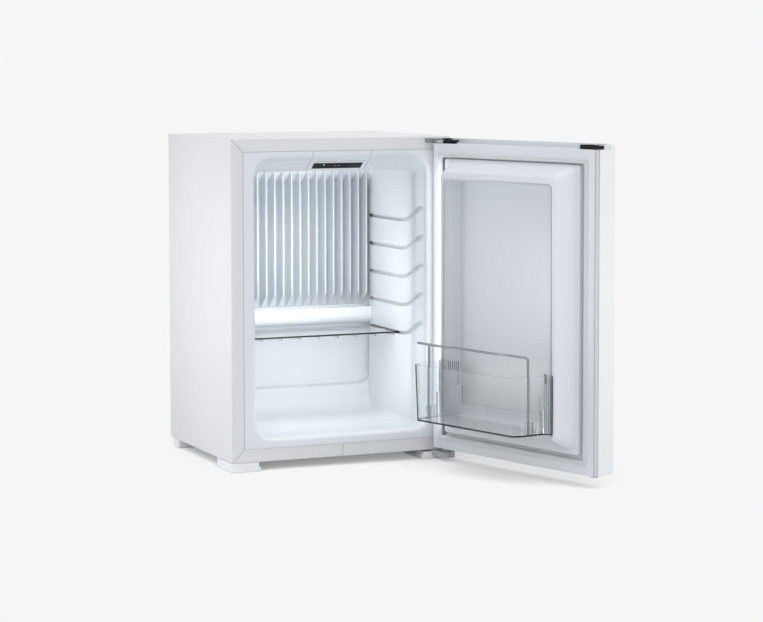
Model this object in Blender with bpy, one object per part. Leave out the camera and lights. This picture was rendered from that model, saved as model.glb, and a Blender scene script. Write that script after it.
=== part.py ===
"""Minibar fridge with its door open: cabinet, moulded liner, finned evaporator, absorption
cooling unit, shelf, and a door that carries a lift-off bin and its bottle guard.

Units are metres, +Z is up, the front faces -Y and the door hinges at the right (+X).
Everything is laid out from the cabinet's front left bottom corner, and the whole model is
shifted at the end so that the origin lies under the middle of its bounding box.
"""

import math

import bmesh
import bpy
from mathutils import Matrix, Vector

MM = 0.001

# Cabinet
CABINET_WIDTH = 402 * MM
CABINET_TOP = 560 * MM
CABINET_DEPTH = 322 * MM
FOOT_HEIGHT = 16 * MM
FOOT_LENGTH = 79 * MM
FOOT_WIDTH = 53 * MM
FOOT_PAD = 7 * MM
FOOT_STEP = 3 * MM
REAR_FOOT_SIZE = 30 * MM
REAR_FOOT_INSET = 3 * MM
REAR_FOOT_SETBACK = 4 * MM
SHEET = 0.8 * MM
SHEET_BEND = 1.6 * MM
FRONT_FLANGE = 22.2 * MM
REAR_FLANGE = 12 * MM
SEAM_GAP = 0.4 * MM
FIT_GAP = 0.3 * MM
BACK_PANEL_INSET = 6 * MM
BACK_PANEL_CORNER = 4 * MM

# Liner and the cavity that it encloses
LINER_WALL = 1.5 * MM
SIDE_WALL = 42 * MM
FLOOR_WALL = 38 * MM
BACK_WALL = 73 * MM
LIP_DROP = 34 * MM
BAND_DROP = 22 * MM
CAVITY_LEFT = SIDE_WALL
CAVITY_RIGHT = CABINET_WIDTH - SIDE_WALL
CAVITY_FLOOR = FOOT_HEIGHT + FLOOR_WALL
CAVITY_BACK = CABINET_DEPTH - BACK_WALL
LIP_TOP = CABINET_TOP - LIP_DROP
CAVITY_CEILING = LIP_TOP - BAND_DROP
CAVITY_RADIUS = 30 * MM
LIP_RADIUS = 6 * MM
BAND_DEPTH = 35 * MM
CEILING_SLANT_LENGTH = 38 * MM
CEILING_SLANT_START = CAVITY_BACK - CEILING_SLANT_LENGTH
CEILING_SLANT = math.radians(38.7)
STEP_FORWARD = 10 * MM
STEP_LEVEL = 46 * MM
STEP_RISE = 6 * MM
STEP_BOTTOM = CAVITY_FLOOR + STEP_LEVEL
STEP_TOP = STEP_BOTTOM + STEP_RISE

# Raised side panels, which leave the shelf grooves between them
GROOVE_COUNT = 5
GROOVE_TOP_DROP = 96 * MM
GROOVE_TOP_LEVEL = CAVITY_CEILING - GROOVE_TOP_DROP
GROOVE_PITCH = 50 * MM
GROOVE_HEIGHT = 6 * MM
PANEL_RISE = 9.5 * MM
PANEL_FRONT = 23 * MM
PANEL_RAMP = 15 * MM
PANEL_SETBACK = 11 * MM
PANEL_BACK = CAVITY_BACK - PANEL_SETBACK
PANEL_EDGE = 0.9 * MM
PANEL_DRAFT = 1.2 * MM
FLARE_TIP_DEPTH = 29 * MM
FLARE_TIP_RISE = 28 * MM
FLARE_START = 72 * MM
FLARE_RADIUS = 88 * MM

# Finned block, gutter and drain
FIN_COUNT = 18
FIN_END_MARGIN = 12.9 * MM
FIN_TIP = 1.8 * MM
FIN_ROOT = 2.6 * MM
FIN_REACH = 33 * MM
FIN_FRONT = CAVITY_BACK - FIN_REACH
FIN_PLATE = 2.4 * MM
FIN_TOP_GAP = 9 * MM
FIN_TOP = CAVITY_CEILING - FIN_TOP_GAP
FIN_BOTTOM = 273 * MM
FIN_BOTTOM_SLANT = math.radians(36.5)
FIN_PLATE_MARGIN = 7 * MM
GUTTER_REACH = 29 * MM
GUTTER_DROP = 26.5 * MM
GUTTER_FRONT = CAVITY_BACK - GUTTER_REACH
GUTTER_TOP = FIN_BOTTOM - GUTTER_DROP
GUTTER_WALL = 1.6 * MM
GUTTER_STRAIGHT = 15.5 * MM
GUTTER_END_GAP = 0.5 * MM
DRAIN_RADIUS = 4.6 * MM
DRAIN_BORE = 3.2 * MM
DRAIN_DROP = 21.5 * MM
DRAIN_LEVEL = GUTTER_TOP - DRAIN_DROP
DRAIN_MOUTH = 6 * MM

# Control housing in the slanted band
HOUSING_WIDTH = 106 * MM
HOUSING_TOP = LIP_TOP + LIP_RADIUS
DISPLAY_WIDTH = 90 * MM
DISPLAY_HEIGHT = 15 * MM
DISPLAY_THICKNESS = 1.2 * MM
DISPLAY_FROM_LIP = 14.5 * MM
DISPLAY_GROOVE_FROM_LIP = 8 * MM
DISPLAY_GROOVE = 0.6 * MM
LED_RADIUS = 1.0 * MM
LED_OFFSET = -25 * MM

# Shelf
SHELF_THICKNESS = 3.5 * MM
SHELF_LENGTH = 120 * MM
SHELF_BACK_GAP = 2 * MM
SHELF_BACK = PANEL_BACK - SHELF_BACK_GAP
SHELF_FRONT = SHELF_BACK - SHELF_LENGTH
SHELF_SIDE_GAP = 1.0 * MM
SHELF_RIB_COUNT = 9
SHELF_RIB_MARGIN = 12.2 * MM
SHELF_RIB_WIDTH = 1.6 * MM
SHELF_RIB_DEPTH = 4 * MM
SHELF_CORNER = 2 * MM

# Door
DOOR_GAP = 8 * MM
DOOR_NARROWER = 4 * MM
DOOR_WIDTH = CABINET_WIDTH - DOOR_NARROWER
DOOR_OVERHANG = 1 * MM
DOOR_THICKNESS = 46 * MM
DOOR_FOOT_GAP = 7 * MM
DOOR_BOTTOM = FOOT_HEIGHT + DOOR_FOOT_GAP
DOOR_STEP_HEIGHT = 8.5 * MM
DOOR_TOP_DROP = 3 * MM
DOOR_TOP = CABINET_TOP - DOOR_TOP_DROP
DOOR_FRAME_TOP = DOOR_TOP - DOOR_STEP_HEIGHT
PLUG_INSET = 3 * MM
DOOR_STEP_DEPTH = 35 * MM
FRAME_THICKNESS = 10.5 * MM
FRAME_WIDTH = 27 * MM
CHANNEL_FLOOR = 3.5 * MM
CHANNEL_WALL = 1.7 * MM
CHANNEL_START = 7.5 * MM
CAP_START = 3 * MM
CAP_END = 32.4 * MM
SKIN_BACK = 11 * MM
SKIN_ROUNDING = 3 * MM
FRAME_EDGE = ((0.8, 0), (0, 0.8), (0, 1.4), (0.8, 1.6), (0.8, 2), (0, 2.2), (0, 6.8), (1.4, 7.2))
OPEN_ANGLE = math.radians(105.52)
HINGE_FROM_DOOR_END = 16 * MM
HINGE_FROM_DOOR_FACE = 17.5 * MM

# Door liner and its raised edge, which runs up both sides and across the top
PLATE_INSET = 29 * MM
PLATE_BOTTOM = DOOR_BOTTOM + PLATE_INSET
PLATE_TOP = DOOR_FRAME_TOP - PLATE_INSET
DYKE_HEIGHT = 33 * MM
DYKE_BASE_OUTER = 33.5 * MM
DYKE_CREST_OUTER = 57 * MM
DYKE_CREST_INNER = 66.3 * MM
DYKE_BASE_INNER = 69 * MM
DYKE_TOP_INSET = 2 * MM
DYKE_TOP_SLOPE = 14.5 * MM
DYKE_BAR_HEIGHT = 13 * MM
DYKE_FOOT_INSET = 7 * MM
DYKE_FOOT_SLOPE = 21 * MM
DYKE_BASE_TOP = PLATE_TOP - DYKE_TOP_INSET
DYKE_CREST_TOP = DYKE_BASE_TOP - DYKE_TOP_SLOPE
DYKE_BAR_LOW = DYKE_CREST_TOP - DYKE_BAR_HEIGHT
DYKE_BASE_BOTTOM = PLATE_BOTTOM + DYKE_FOOT_INSET
DYKE_CREST_BOTTOM = DYKE_BASE_BOTTOM + DYKE_FOOT_SLOPE
DYKE_BASE_BEND = 24 * MM
DYKE_BASE_CORNER = 24 * MM
DYKE_CREST_BEND = 8 * MM
DYKE_CREST_CORNER = 13 * MM
DYKE_INNER_CORNER = 10 * MM
DYKE_END_CORNER = 2 * MM
DYKE_ROUNDING = 3 * MM
PLATE_CORNER = 6 * MM
GASKET_INSET = 14 * MM
GASKET_WIDTH = 11.5 * MM
GASKET_HEIGHT = 7.5 * MM
GASKET_FOOT = 2 * MM
GASKET_CORNER = 5 * MM

# Hinges
PIN_RADIUS = 2.9 * MM
BUSH_BORE = 3.0 * MM
BUSH_RADIUS = 5.5 * MM
HINGE_PLATE = 2.6 * MM
HINGE_ARM_LEFT = 31 * MM
HINGE_ARM_RIGHT = 6 * MM
HINGE_NOSE = 9 * MM
HINGE_CLEARANCE = 0.4 * MM
HINGE_LEG = 1.2 * MM
PIN_DEPTH = 12 * MM
PIN_HEAD = 1.5 * MM
BUSH_DEPTH = 15 * MM
BUSH_FLANGE = 8 * MM
BLANK_RADIUS = 6.4 * MM
BLANK_HEIGHT = 3.5 * MM
KNOB_RADIUS = 4 * MM
KNOB_FROM_END = 22 * MM
CAP_LENGTH = 43 * MM
CAP_HEIGHT = 5.4 * MM
LOWER_PLATE_BOTTOM = 6 * MM
LOWER_PLATE_NOSE = 14 * MM
LOWER_PLATE_REACH = 60 * MM
LOWER_PLATE_HALF = 16 * MM
LOWER_PLATE_INSET = 2 * MM

# Bin and bottle guard
BIN_WALL = 2 * MM
BIN_LEVEL = 35.7 * MM
BIN_HEIGHT = 95.8 * MM
BIN_BOTTOM = PLATE_BOTTOM + BIN_LEVEL
BIN_TOP = BIN_BOTTOM + BIN_HEIGHT
BIN_FRONT = 103 * MM
BIN_LEAN = 4.6 * MM
BIN_BACK = 21 * MM
BIN_BACK_HEIGHT = 36 * MM
BIN_BACK_END = 91 * MM
BIN_BRACKET_END = 59.7 * MM
BIN_BRACKET_FRONT = 44 * MM
BIN_END = 72 * MM
BIN_END_FRONT = 88 * MM
BIN_FRONT_CORNER = 79.5 * MM
BIN_ROUNDING = 4 * MM
LEDGE_HEIGHT = 8 * MM
LEDGE_LENGTH = 10 * MM
GUARD_RADIUS = 2.2 * MM
GUARD_HEIGHT = 36.5 * MM
GUARD_TOP = BIN_TOP + GUARD_HEIGHT
GUARD_LEG_INSET = 75.8 * MM
GUARD_LEG_DEPTH = 73 * MM
GUARD_FRONT = 105 * MM
GUARD_CORNER = 9 * MM
GUARD_RISE = 6 * MM
GUARD_TAPER = 7 * MM
SOCKET_RADIUS = 4.6 * MM
SOCKET_HEIGHT = 24 * MM

# Cooling unit on the back
TUBE_RADIUS = 8 * MM
EVAPORATOR_RADIUS = 7 * MM
EVAPORATOR_DROP = 130 * MM
EVAPORATOR_PITCH = 46 * MM
EVAPORATOR_SIDE = 102 * MM
EVAPORATOR_HIGH = CABINET_TOP - EVAPORATOR_DROP
EVAPORATOR_LOW = EVAPORATOR_HIGH - EVAPORATOR_PITCH
EVAPORATOR_RIGHT = CABINET_WIDTH - EVAPORATOR_SIDE
EVAPORATOR_LEFT = 100 * MM
EVAPORATOR_BEND = 22 * MM
EVAPORATOR_STANDOFF = 3 * MM
BOILER_X = 95 * MM
BOILER_RADIUS = 29 * MM
BOILER_BOTTOM = 96 * MM
BOILER_TOP = 336 * MM
BOILER_LID = 6 * MM
RISER_BEND = 16 * MM
DOWNPIPE_OFFSET = 14 * MM
DOWNPIPE_BEND = 12 * MM
CONDENSER_DROP = 74 * MM
CONDENSER_LEVEL = CABINET_TOP - CONDENSER_DROP
CONDENSER_FALL = 8 * MM
CONDENSER_PLATES = 9
CONDENSER_START = 26 * MM
CONDENSER_PLATE_SIZE = 46 * MM
VESSEL_RADIUS = 26 * MM
VESSEL_LEVEL = 96 * MM
VESSEL_DOME = 10 * MM
COIL_RUNS = 5
COIL_PITCH = 34 * MM
COIL_TOP = 344 * MM
COIL_LEFT = 165 * MM
COIL_SIDE = 67 * MM
COIL_RIGHT = CABINET_WIDTH - COIL_SIDE
UNIT_PLANE = 36 * MM
STRAP_WIDTH = 24 * MM
STRAP_THICKNESS = 2 * MM
STRAP_INSET = 13 * MM
STRAP_SHOULDER = 26 * MM
CLAMP_HALF = 8 * MM
CLAMP_MARGIN = 20 * MM
HANGER_HALF = 6 * MM
TRAY_LENGTH = 110 * MM
TRAY_WIDTH = 48 * MM
TRAY_HEIGHT = 18 * MM
TRAY_WALL = 1.6 * MM
TRAY_FLARE = 3 * MM
DRAIN_STANDOFF = 18 * MM
BOX_LEFT = 30 * MM
BOX_RIGHT = 84 * MM
BOX_BOTTOM = 26 * MM
BOX_TOP = 84 * MM
BOX_DEPTH = 46 * MM
BOX_CORNER = 4 * MM
INLET_WIDTH = 22 * MM
INLET_HEIGHT = 14 * MM
INLET_DEPTH = 11 * MM
INLET_WALL = 3 * MM
INLET_CORNER = 3 * MM

CORNER_STEPS = 5
ROUND_STEPS = 24

# Places that follow from the sizes above
FRONT = 0.0
HINGE_X = CABINET_WIDTH - DOOR_OVERHANG - HINGE_FROM_DOOR_END
HINGE_Y = -DOOR_GAP - HINGE_FROM_DOOR_FACE
CENTRE_X = (CAVITY_LEFT + CAVITY_RIGHT) / 2
INNER_WIDTH = CAVITY_RIGHT - CAVITY_LEFT - 2 * PANEL_RISE
FIN_PITCH = (INNER_WIDTH - 2 * FIN_END_MARGIN) / (FIN_COUNT - 1)
SHELF_RIB_PITCH = (INNER_WIDTH - SHELF_RIB_MARGIN) / (SHELF_RIB_COUNT - 1)
HINGE_PLATE_LEFT = HINGE_X - HINGE_ARM_LEFT
HINGE_PLATE_RIGHT = HINGE_X + HINGE_ARM_RIGHT
REAR = CABINET_DEPTH + FIT_GAP + SHEET


def clear_scene():
    for item in list(bpy.data.objects):
        bpy.data.objects.remove(item, do_unlink=True)


def finish(name, colour, roughness, metallic=0.0, alpha=1.0):
    """A Principled material."""
    material = bpy.data.materials.new(name)
    material.use_nodes = True
    shader = material.node_tree.nodes["Principled BSDF"]
    shader.inputs["Base Color"].default_value = (*colour, 1.0)
    shader.inputs["Roughness"].default_value = roughness
    shader.inputs["Metallic"].default_value = metallic
    shader.inputs["Alpha"].default_value = alpha
    material.diffuse_color = (*colour, alpha)
    return material


def add_object(name, body, material, parent=None):
    """Turn a bmesh into a named object, shaded smooth where its faces meet gently."""
    bmesh.ops.recalc_face_normals(body, faces=body.faces)
    mesh = bpy.data.meshes.new(name)
    body.to_mesh(mesh)
    body.free()
    mesh.shade_smooth()
    mesh.set_sharp_from_angle(angle=math.radians(35))
    item = bpy.data.objects.new(name, mesh)
    bpy.context.collection.objects.link(item)
    if material:
        mesh.materials.append(material)
    item.parent = parent
    return item


def guide(name, bodies, parent=None):
    """A hidden object that other objects are cut or joined with."""
    merged = bmesh.new()
    for body in bodies:
        mesh = bpy.data.meshes.new(name)
        bmesh.ops.recalc_face_normals(body, faces=body.faces)
        body.to_mesh(mesh)
        body.free()
        merged.from_mesh(mesh)
        bpy.data.meshes.remove(mesh)
    item = add_object(name, merged, None, parent)
    item.hide_render = True
    item.display_type = "WIRE"
    return item


def boolean(target, other, operation):
    change = target.modifiers.new(other.name, "BOOLEAN")
    change.object = other
    change.operation = operation
    change.solver = "EXACT"


def cut(target, bodies):
    """Cut bodies, which don't touch each other, out of the target."""
    boolean(target, guide(target.name + "_cut", bodies, target.parent), "DIFFERENCE")


def join(target, body):
    boolean(target, guide(target.name + "_add", [body], target.parent), "UNION")


def loft(loops, closed=False):
    """Skin equal-length loops of points; the ends are capped unless the loops close up."""
    body = bmesh.new()
    rings = [[body.verts.new(point) for point in loop] for loop in loops]
    pairs = list(zip(rings, rings[1:]))
    if closed:
        pairs.append((rings[-1], rings[0]))
    for first, second in pairs:
        for i in range(len(first)):
            j = (i + 1) % len(first)
            body.faces.new((first[i], first[j], second[j], second[i]))
    if not closed:
        body.faces.new(rings[0])
        body.faces.new(reversed(rings[-1]))
    return body


def place(points, axis, value):
    """Lift 2D points into the plane across an axis: (y, z), (x, z) or (x, y)."""
    if axis == "X":
        return [Vector((value, a, b)) for a, b in points]
    if axis == "Y":
        return [Vector((a, value, b)) for a, b in points]
    return [Vector((a, b, value)) for a, b in points]


def prism(points, axis, start, end):
    return loft([place(points, axis, start), place(points, axis, end)])


def box(x, y, z):
    return prism([(x[0], y[0]), (x[1], y[0]), (x[1], y[1]), (x[0], y[1])], "Z", *z)


def circle(centre, radius, steps=ROUND_STEPS):
    turn = math.tau / steps
    return [
        (centre[0] + radius * math.cos(i * turn), centre[1] + radius * math.sin(i * turn))
        for i in range(steps)
    ]


def cylinder(centre, radius, axis, start, end, steps=ROUND_STEPS):
    return prism(circle(centre, radius, steps), axis, start, end)


def turned(centre, profile, steps=ROUND_STEPS):
    """A solid of revolution about a vertical axis, from (radius, height) pairs."""
    return loft([place(circle(centre, radius, steps), "Z", height) for radius, height in profile])


def fillet(corners, steps=CORNER_STEPS):
    """Round the corners of a closed outline given as (a, b, radius)."""
    outline = []
    for i, (a, b, radius) in enumerate(corners):
        here = Vector((a, b))
        before = Vector(corners[i - 1][:2])
        after = Vector(corners[(i + 1) % len(corners)][:2])
        if radius <= 0:
            outline.append((a, b))
            continue
        outline += arc_at(here, before, after, radius, steps)
    return outline


def arc_at(here, before, after, radius, steps):
    """Points of the arc that rounds one corner."""
    way_in = (before - here).normalized()
    way_out = (after - here).normalized()
    half = way_in.angle(way_out) / 2
    reach = radius / math.tan(half)
    reach = min(reach, 0.49 * (before - here).length, 0.49 * (after - here).length)
    radius = reach * math.tan(half)
    centre = here + (way_in + way_out).normalized() * radius / math.sin(half)
    first = here + way_in * reach - centre
    last = here + way_out * reach - centre
    sweep = first.angle(last)
    points = []
    for k in range(steps + 1):
        t = k / steps
        spoke = (first * math.sin((1 - t) * sweep) + last * math.sin(t * sweep)) / math.sin(sweep)
        points.append(tuple(centre + spoke))
    return points


def rounded_rect(left, right, low, high, radius, steps=CORNER_STEPS):
    corners = [(left, low), (right, low), (right, high), (left, high)]
    return fillet([(a, b, radius) for a, b in corners], steps)


def rounded_path(points, radius, steps=6):
    """A 3D route through the points with its inner corners rounded."""
    route = [Vector(points[0])]
    for before, here, after in zip(points, points[1:], points[2:]):
        route += arc_at(Vector(here), Vector(before), Vector(after), radius, steps)
    route.append(Vector(points[-1]))
    return [Vector(point) for point in route]


def sweep_rings(route, radius, steps):
    """Rings of points round a route, carried along without twist."""
    rings = []
    tangent = (route[1] - route[0]).normalized()
    side = tangent.orthogonal().normalized()
    for i, point in enumerate(route):
        ahead = route[min(i + 1, len(route) - 1)]
        behind = route[max(i - 1, 0)]
        tangent = (ahead - behind).normalized()
        side = (side - tangent * side.dot(tangent)).normalized()
        other = tangent.cross(side)
        turn = math.tau / steps
        rings.append(
            [
                point + side * radius * math.cos(k * turn) + other * radius * math.sin(k * turn)
                for k in range(steps)
            ]
        )
    return rings


def rod(route, radius, steps=10):
    return loft(sweep_rings(route, radius, steps))


def pipe(route, radius, bore, steps=12):
    outside = sweep_rings(route, radius, steps)
    inside = sweep_rings(route, bore, steps)
    return loft(outside + inside[::-1], closed=True)


def ceiling(depth, offset=0.0):
    """Height of the cavity's ceiling at a depth behind the lip."""
    band = (LIP_TOP - CAVITY_CEILING) / (BAND_DEPTH - LIP_RADIUS)
    height = LIP_TOP - (depth - LIP_RADIUS) * band
    height = max(height, CAVITY_CEILING)
    if depth > CEILING_SLANT_START:
        height -= (depth - CEILING_SLANT_START) * math.tan(CEILING_SLANT)
    return height + offset


def cavity_stations():
    """(depth, widening at the lip, floor height) from the front to the back wall."""
    stations = []
    for k in range(5):
        angle = k / 4 * math.pi / 2
        depth = LIP_RADIUS * (1 - math.cos(angle))
        stations.append((depth, LIP_RADIUS * (1 - math.sin(angle)), CAVITY_FLOOR))
    step_wall = CAVITY_BACK - STEP_FORWARD
    fillet_start = step_wall - CAVITY_RADIUS
    stations.append((BAND_DEPTH, 0.0, CAVITY_FLOOR))
    stations.append((fillet_start, 0.0, CAVITY_FLOOR))
    for degrees in (8, 30, 55, 78):
        angle = math.radians(degrees)
        depth = fillet_start + CAVITY_RADIUS * math.sin(angle)
        stations.append((depth, 0.0, CAVITY_FLOOR + CAVITY_RADIUS * (1 - math.cos(angle))))
    stations.append((step_wall, 0.0, STEP_BOTTOM))
    stations.append((CAVITY_BACK, 0.0, STEP_TOP))
    return stations


def cavity_body(offset, front):
    """The space inside the liner, grown by an offset and pulled out to the front."""
    loops = []
    for depth, lip, floor in cavity_stations():
        grow = offset + lip
        outline = rounded_rect(
            CAVITY_LEFT - grow,
            CAVITY_RIGHT + grow,
            floor - grow,
            ceiling(max(depth, LIP_RADIUS), grow),
            CAVITY_RADIUS + grow,
        )
        shift = offset if depth > BAND_DEPTH else 0.0
        loops.append(place(outline, "Y", depth + shift))
    first = [Vector((point.x, front, point.z)) for point in loops[0]]
    return loft([first] + loops)


def groove_levels():
    """Heights of the ledges that a shelf can rest on, from the top one down."""
    return [GROOVE_TOP_LEVEL - i * GROOVE_PITCH for i in range(GROOVE_COUNT)]


def side_panel_outlines(ramp, draft):
    """(depth, height) outlines of the raised panels between the shelf grooves.

    The ramp carries the outline further forward, and the draft widens it downward.
    """
    levels = groove_levels()
    tops = [CAVITY_CEILING + CAVITY_RADIUS] + levels
    front = PANEL_FRONT - ramp
    outlines = []
    for i, top in enumerate(tops):
        if i == GROOVE_COUNT:
            low = CAVITY_FLOOR - CAVITY_RADIUS
            corners = [(front, low, 0), (PANEL_BACK, low, 0)]
        else:
            low = levels[i] - draft
            corners = [
                (front, low + FLARE_TIP_RISE, 0),
                (FLARE_TIP_DEPTH, low + FLARE_TIP_RISE, 0),
                (FLARE_START, low + GROOVE_HEIGHT, FLARE_RADIUS),
                (PANEL_BACK, low + GROOVE_HEIGHT, 0),
            ]
        corners += [(PANEL_BACK, top, 0), (front, top, 0)]
        outlines.append(fillet(corners, 6))
    return outlines


def side_panels():
    """Blocks that are left standing on both side walls of the cavity, sloping up at the front."""
    bases = side_panel_outlines(PANEL_RAMP, PANEL_DRAFT)
    faces = side_panel_outlines(0, 0)
    blocks = []
    for base, face in zip(bases, faces):
        for wall, inward in ((CAVITY_LEFT, 1), (CAVITY_RIGHT, -1)):
            end = wall + inward * PANEL_RISE
            loops = [
                place(base, "X", wall - inward * PANEL_RISE),
                place(base, "X", wall),
                place(face, "X", end),
            ]
            block = loft(loops)
            edges = [e for e in block.edges if all(abs(v.co.x - end) < 1e-6 for v in e.verts)]
            bmesh.ops.bevel(block, geom=edges, offset=PANEL_EDGE, segments=2, affect="EDGES")
            blocks.append(block)
    return blocks


def wrapper_outline(inset):
    radius = max(SHEET_BEND - inset, 0.2 * MM)
    return rounded_rect(
        inset, CABINET_WIDTH - inset, FOOT_HEIGHT + inset, CABINET_TOP - inset, radius, 2
    )


def build_cabinet_wrapper(white):
    """Folded sheet with a front and a rear flange; the front flange is mitred."""
    back = CABINET_DEPTH
    section = [
        (0, SHEET_BEND),
        (SHEET_BEND * 0.3, SHEET_BEND * 0.3),
        (SHEET_BEND, FRONT),
        (FRONT_FLANGE, FRONT),
        (FRONT_FLANGE, SHEET),
        (SHEET_BEND, SHEET),
        (SHEET, SHEET_BEND),
        (SHEET, back - SHEET),
        (REAR_FLANGE, back - SHEET),
        (REAR_FLANGE, back),
        (0, back),
    ]
    loops = [place(wrapper_outline(inset), "Y", depth) for inset, depth in section]
    wrapper = add_object("cabinet_wrapper", loft(loops, closed=True), white)
    slits = []
    reach = FRONT_FLANGE - SHEET_BEND * 2
    for x, z, degrees in (
        (0, FOOT_HEIGHT, 45),
        (CABINET_WIDTH, FOOT_HEIGHT, 135),
        (CABINET_WIDTH, CABINET_TOP, 225),
        (0, CABINET_TOP, 315),
    ):
        slits.append(seam_slit(x, z, degrees, SHEET_BEND * 2 * math.sqrt(2), reach * math.sqrt(2)))
    slits.append(seam_slit(CENTRE_X, FOOT_HEIGHT, 90, SHEET_BEND * 2, reach))
    cut(wrapper, slits)
    return wrapper


def seam_slit(x, z, degrees, start, length):
    """A thin cutter across the front flange, from a distance off a corner."""
    half = SEAM_GAP / 2
    end = start + length + REAR_FLANGE
    slit = box((start, end), (FRONT - SHEET, FRONT + SHEET * 1.5), (-half, half))
    turn = Matrix.Rotation(-math.radians(degrees), 4, "Y")
    bmesh.ops.transform(slit, matrix=Matrix.Translation((x, 0, z)) @ turn, verts=slit.verts)
    return slit


def evaporator_route():
    """The tube's way in through the back, across behind the fins, and out again."""
    depth = CAVITY_BACK + LINER_WALL + EVAPORATOR_RADIUS + EVAPORATOR_STANDOFF
    out = REAR + UNIT_PLANE - TUBE_RADIUS - FIT_GAP
    corners = [
        (EVAPORATOR_RIGHT, out, EVAPORATOR_HIGH),
        (EVAPORATOR_RIGHT, depth, EVAPORATOR_HIGH),
        (EVAPORATOR_LEFT, depth, EVAPORATOR_HIGH),
        (EVAPORATOR_LEFT, depth, EVAPORATOR_LOW),
        (EVAPORATOR_RIGHT, depth, EVAPORATOR_LOW),
        (EVAPORATOR_RIGHT, out, EVAPORATOR_LOW),
    ]
    return rounded_path(corners, EVAPORATOR_BEND, 5)


def build_back_panel(steel):
    edge = BACK_PANEL_INSET
    outline = rounded_rect(
        edge, CABINET_WIDTH - edge, FOOT_HEIGHT + edge, CABINET_TOP - edge, BACK_PANEL_CORNER, 2
    )
    start = CABINET_DEPTH + FIT_GAP
    panel = add_object("back_panel", prism(outline, "Y", start, start + SHEET), steel)
    through = (start - SHEET, start + 2 * SHEET)
    holes = [
        cylinder((EVAPORATOR_RIGHT, level), EVAPORATOR_RADIUS + FIT_GAP, "Y", *through, 16)
        for level in (EVAPORATOR_HIGH, EVAPORATOR_LOW)
    ]
    holes.append(cylinder((CENTRE_X, DRAIN_LEVEL), DRAIN_RADIUS + FIT_GAP, "Y", *through, 16))
    cut(panel, holes)


def build_foam(yellow):
    inset = SHEET + FIT_GAP
    outline = rounded_rect(
        inset, CABINET_WIDTH - inset, FOOT_HEIGHT + inset, CABINET_TOP - inset, SHEET, 2
    )
    back = CABINET_DEPTH - SHEET - FIT_GAP
    front = LINER_WALL + FIT_GAP
    foam = add_object("insulation_foam", prism(outline, "Y", front, back), yellow)
    cut(foam, [cavity_body(LINER_WALL + FIT_GAP, FRONT - SHEET)])
    pocket = housing_sides(-2 * FIT_GAP)
    room = box(pocket, (FRONT, BAND_DEPTH + FIT_GAP), (CAVITY_CEILING - SHEET, HOUSING_TOP + SHEET))
    boolean(foam, guide("foam_pocket", [room]), "DIFFERENCE")
    start = CAVITY_BACK - SHEET
    drain = cylinder((CENTRE_X, DRAIN_LEVEL), DRAIN_RADIUS + FIT_GAP, "Y", start, back + SHEET, 12)
    tube = rod(evaporator_route(), EVAPORATOR_RADIUS + FIT_GAP, 10)
    boolean(foam, guide("foam_channels", [drain, tube]), "DIFFERENCE")


def housing_sides(gap=0.0):
    return (CENTRE_X - HOUSING_WIDTH / 2 + gap, CENTRE_X + HOUSING_WIDTH / 2 - gap)


def build_liner(white):
    """Moulded cavity: outer skin and flange, less the space that the side panels leave."""
    liner = add_object("inner_liner", cavity_body(LINER_WALL, FRONT), white)
    edge = FRONT_FLANGE + FIT_GAP
    flange = rounded_rect(
        edge, CABINET_WIDTH - edge, FOOT_HEIGHT + edge, CABINET_TOP - edge, SHEET, 2
    )
    join(liner, prism(flange, "Y", FRONT, FRONT + LINER_WALL))
    space = guide("cavity_space", [cavity_body(0.0, FRONT - SHEET * 2)])
    boolean(space, guide("side_panels", side_panels()), "DIFFERENCE")
    boolean(liner, space, "DIFFERENCE")
    notch = box(
        housing_sides(), (FRONT - SHEET, BAND_DEPTH), (CAVITY_CEILING - SHEET, CABINET_TOP)
    )
    start = CAVITY_BACK - SHEET * 2
    drain = cylinder(
        (CENTRE_X, DRAIN_LEVEL), DRAIN_RADIUS + FIT_GAP, "Y", start, CAVITY_BACK + LINER_WALL * 2, 12
    )
    cut(liner, [notch, drain])
    return liner


def build_fins(aluminium):
    """Comb of fins on a plate, drawn upward between two slanted cuts."""
    half = (FIN_COUNT - 1) * FIN_PITCH / 2
    back = CAVITY_BACK - FIT_GAP
    plate_front = back - FIN_PLATE
    left = CENTRE_X - half - FIN_PLATE_MARGIN
    right = CENTRE_X + half + FIN_PLATE_MARGIN
    comb = [(left, back), (left, plate_front)]
    for i in range(FIN_COUNT):
        x = CENTRE_X - half + i * FIN_PITCH
        comb.append((x - FIN_ROOT / 2, plate_front))
        comb.append((x - FIN_TIP / 2, FIN_FRONT))
        comb.append((x + FIN_TIP / 2, FIN_FRONT))
        comb.append((x + FIN_ROOT / 2, plate_front))
    comb += [(right, plate_front), (right, back)]

    def level(y, start, slant):
        return start - (y - FIN_FRONT) * math.tan(slant)

    low = [Vector((x, y, level(y, FIN_BOTTOM, FIN_BOTTOM_SLANT))) for x, y in comb]
    high = [Vector((x, y, level(y, FIN_TOP, CEILING_SLANT))) for x, y in comb]
    add_object("cooling_fins", loft([low, high]), aluminium)


def gutter_section(inset):
    """(depth, height) outline of the trough: straight sides over a half-round bottom."""
    back = CAVITY_BACK - FIT_GAP
    middle = (GUTTER_FRONT + back) / 2
    radius = (back - GUTTER_FRONT) / 2 - inset
    spring = GUTTER_TOP - GUTTER_STRAIGHT
    points = [(middle - radius, GUTTER_TOP + inset)]
    for k in range(11):
        angle = math.pi + k / 10 * math.pi
        points.append((middle + radius * math.cos(angle), spring + radius * math.sin(angle)))
    points.append((middle + radius, GUTTER_TOP + inset))
    return points


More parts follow.
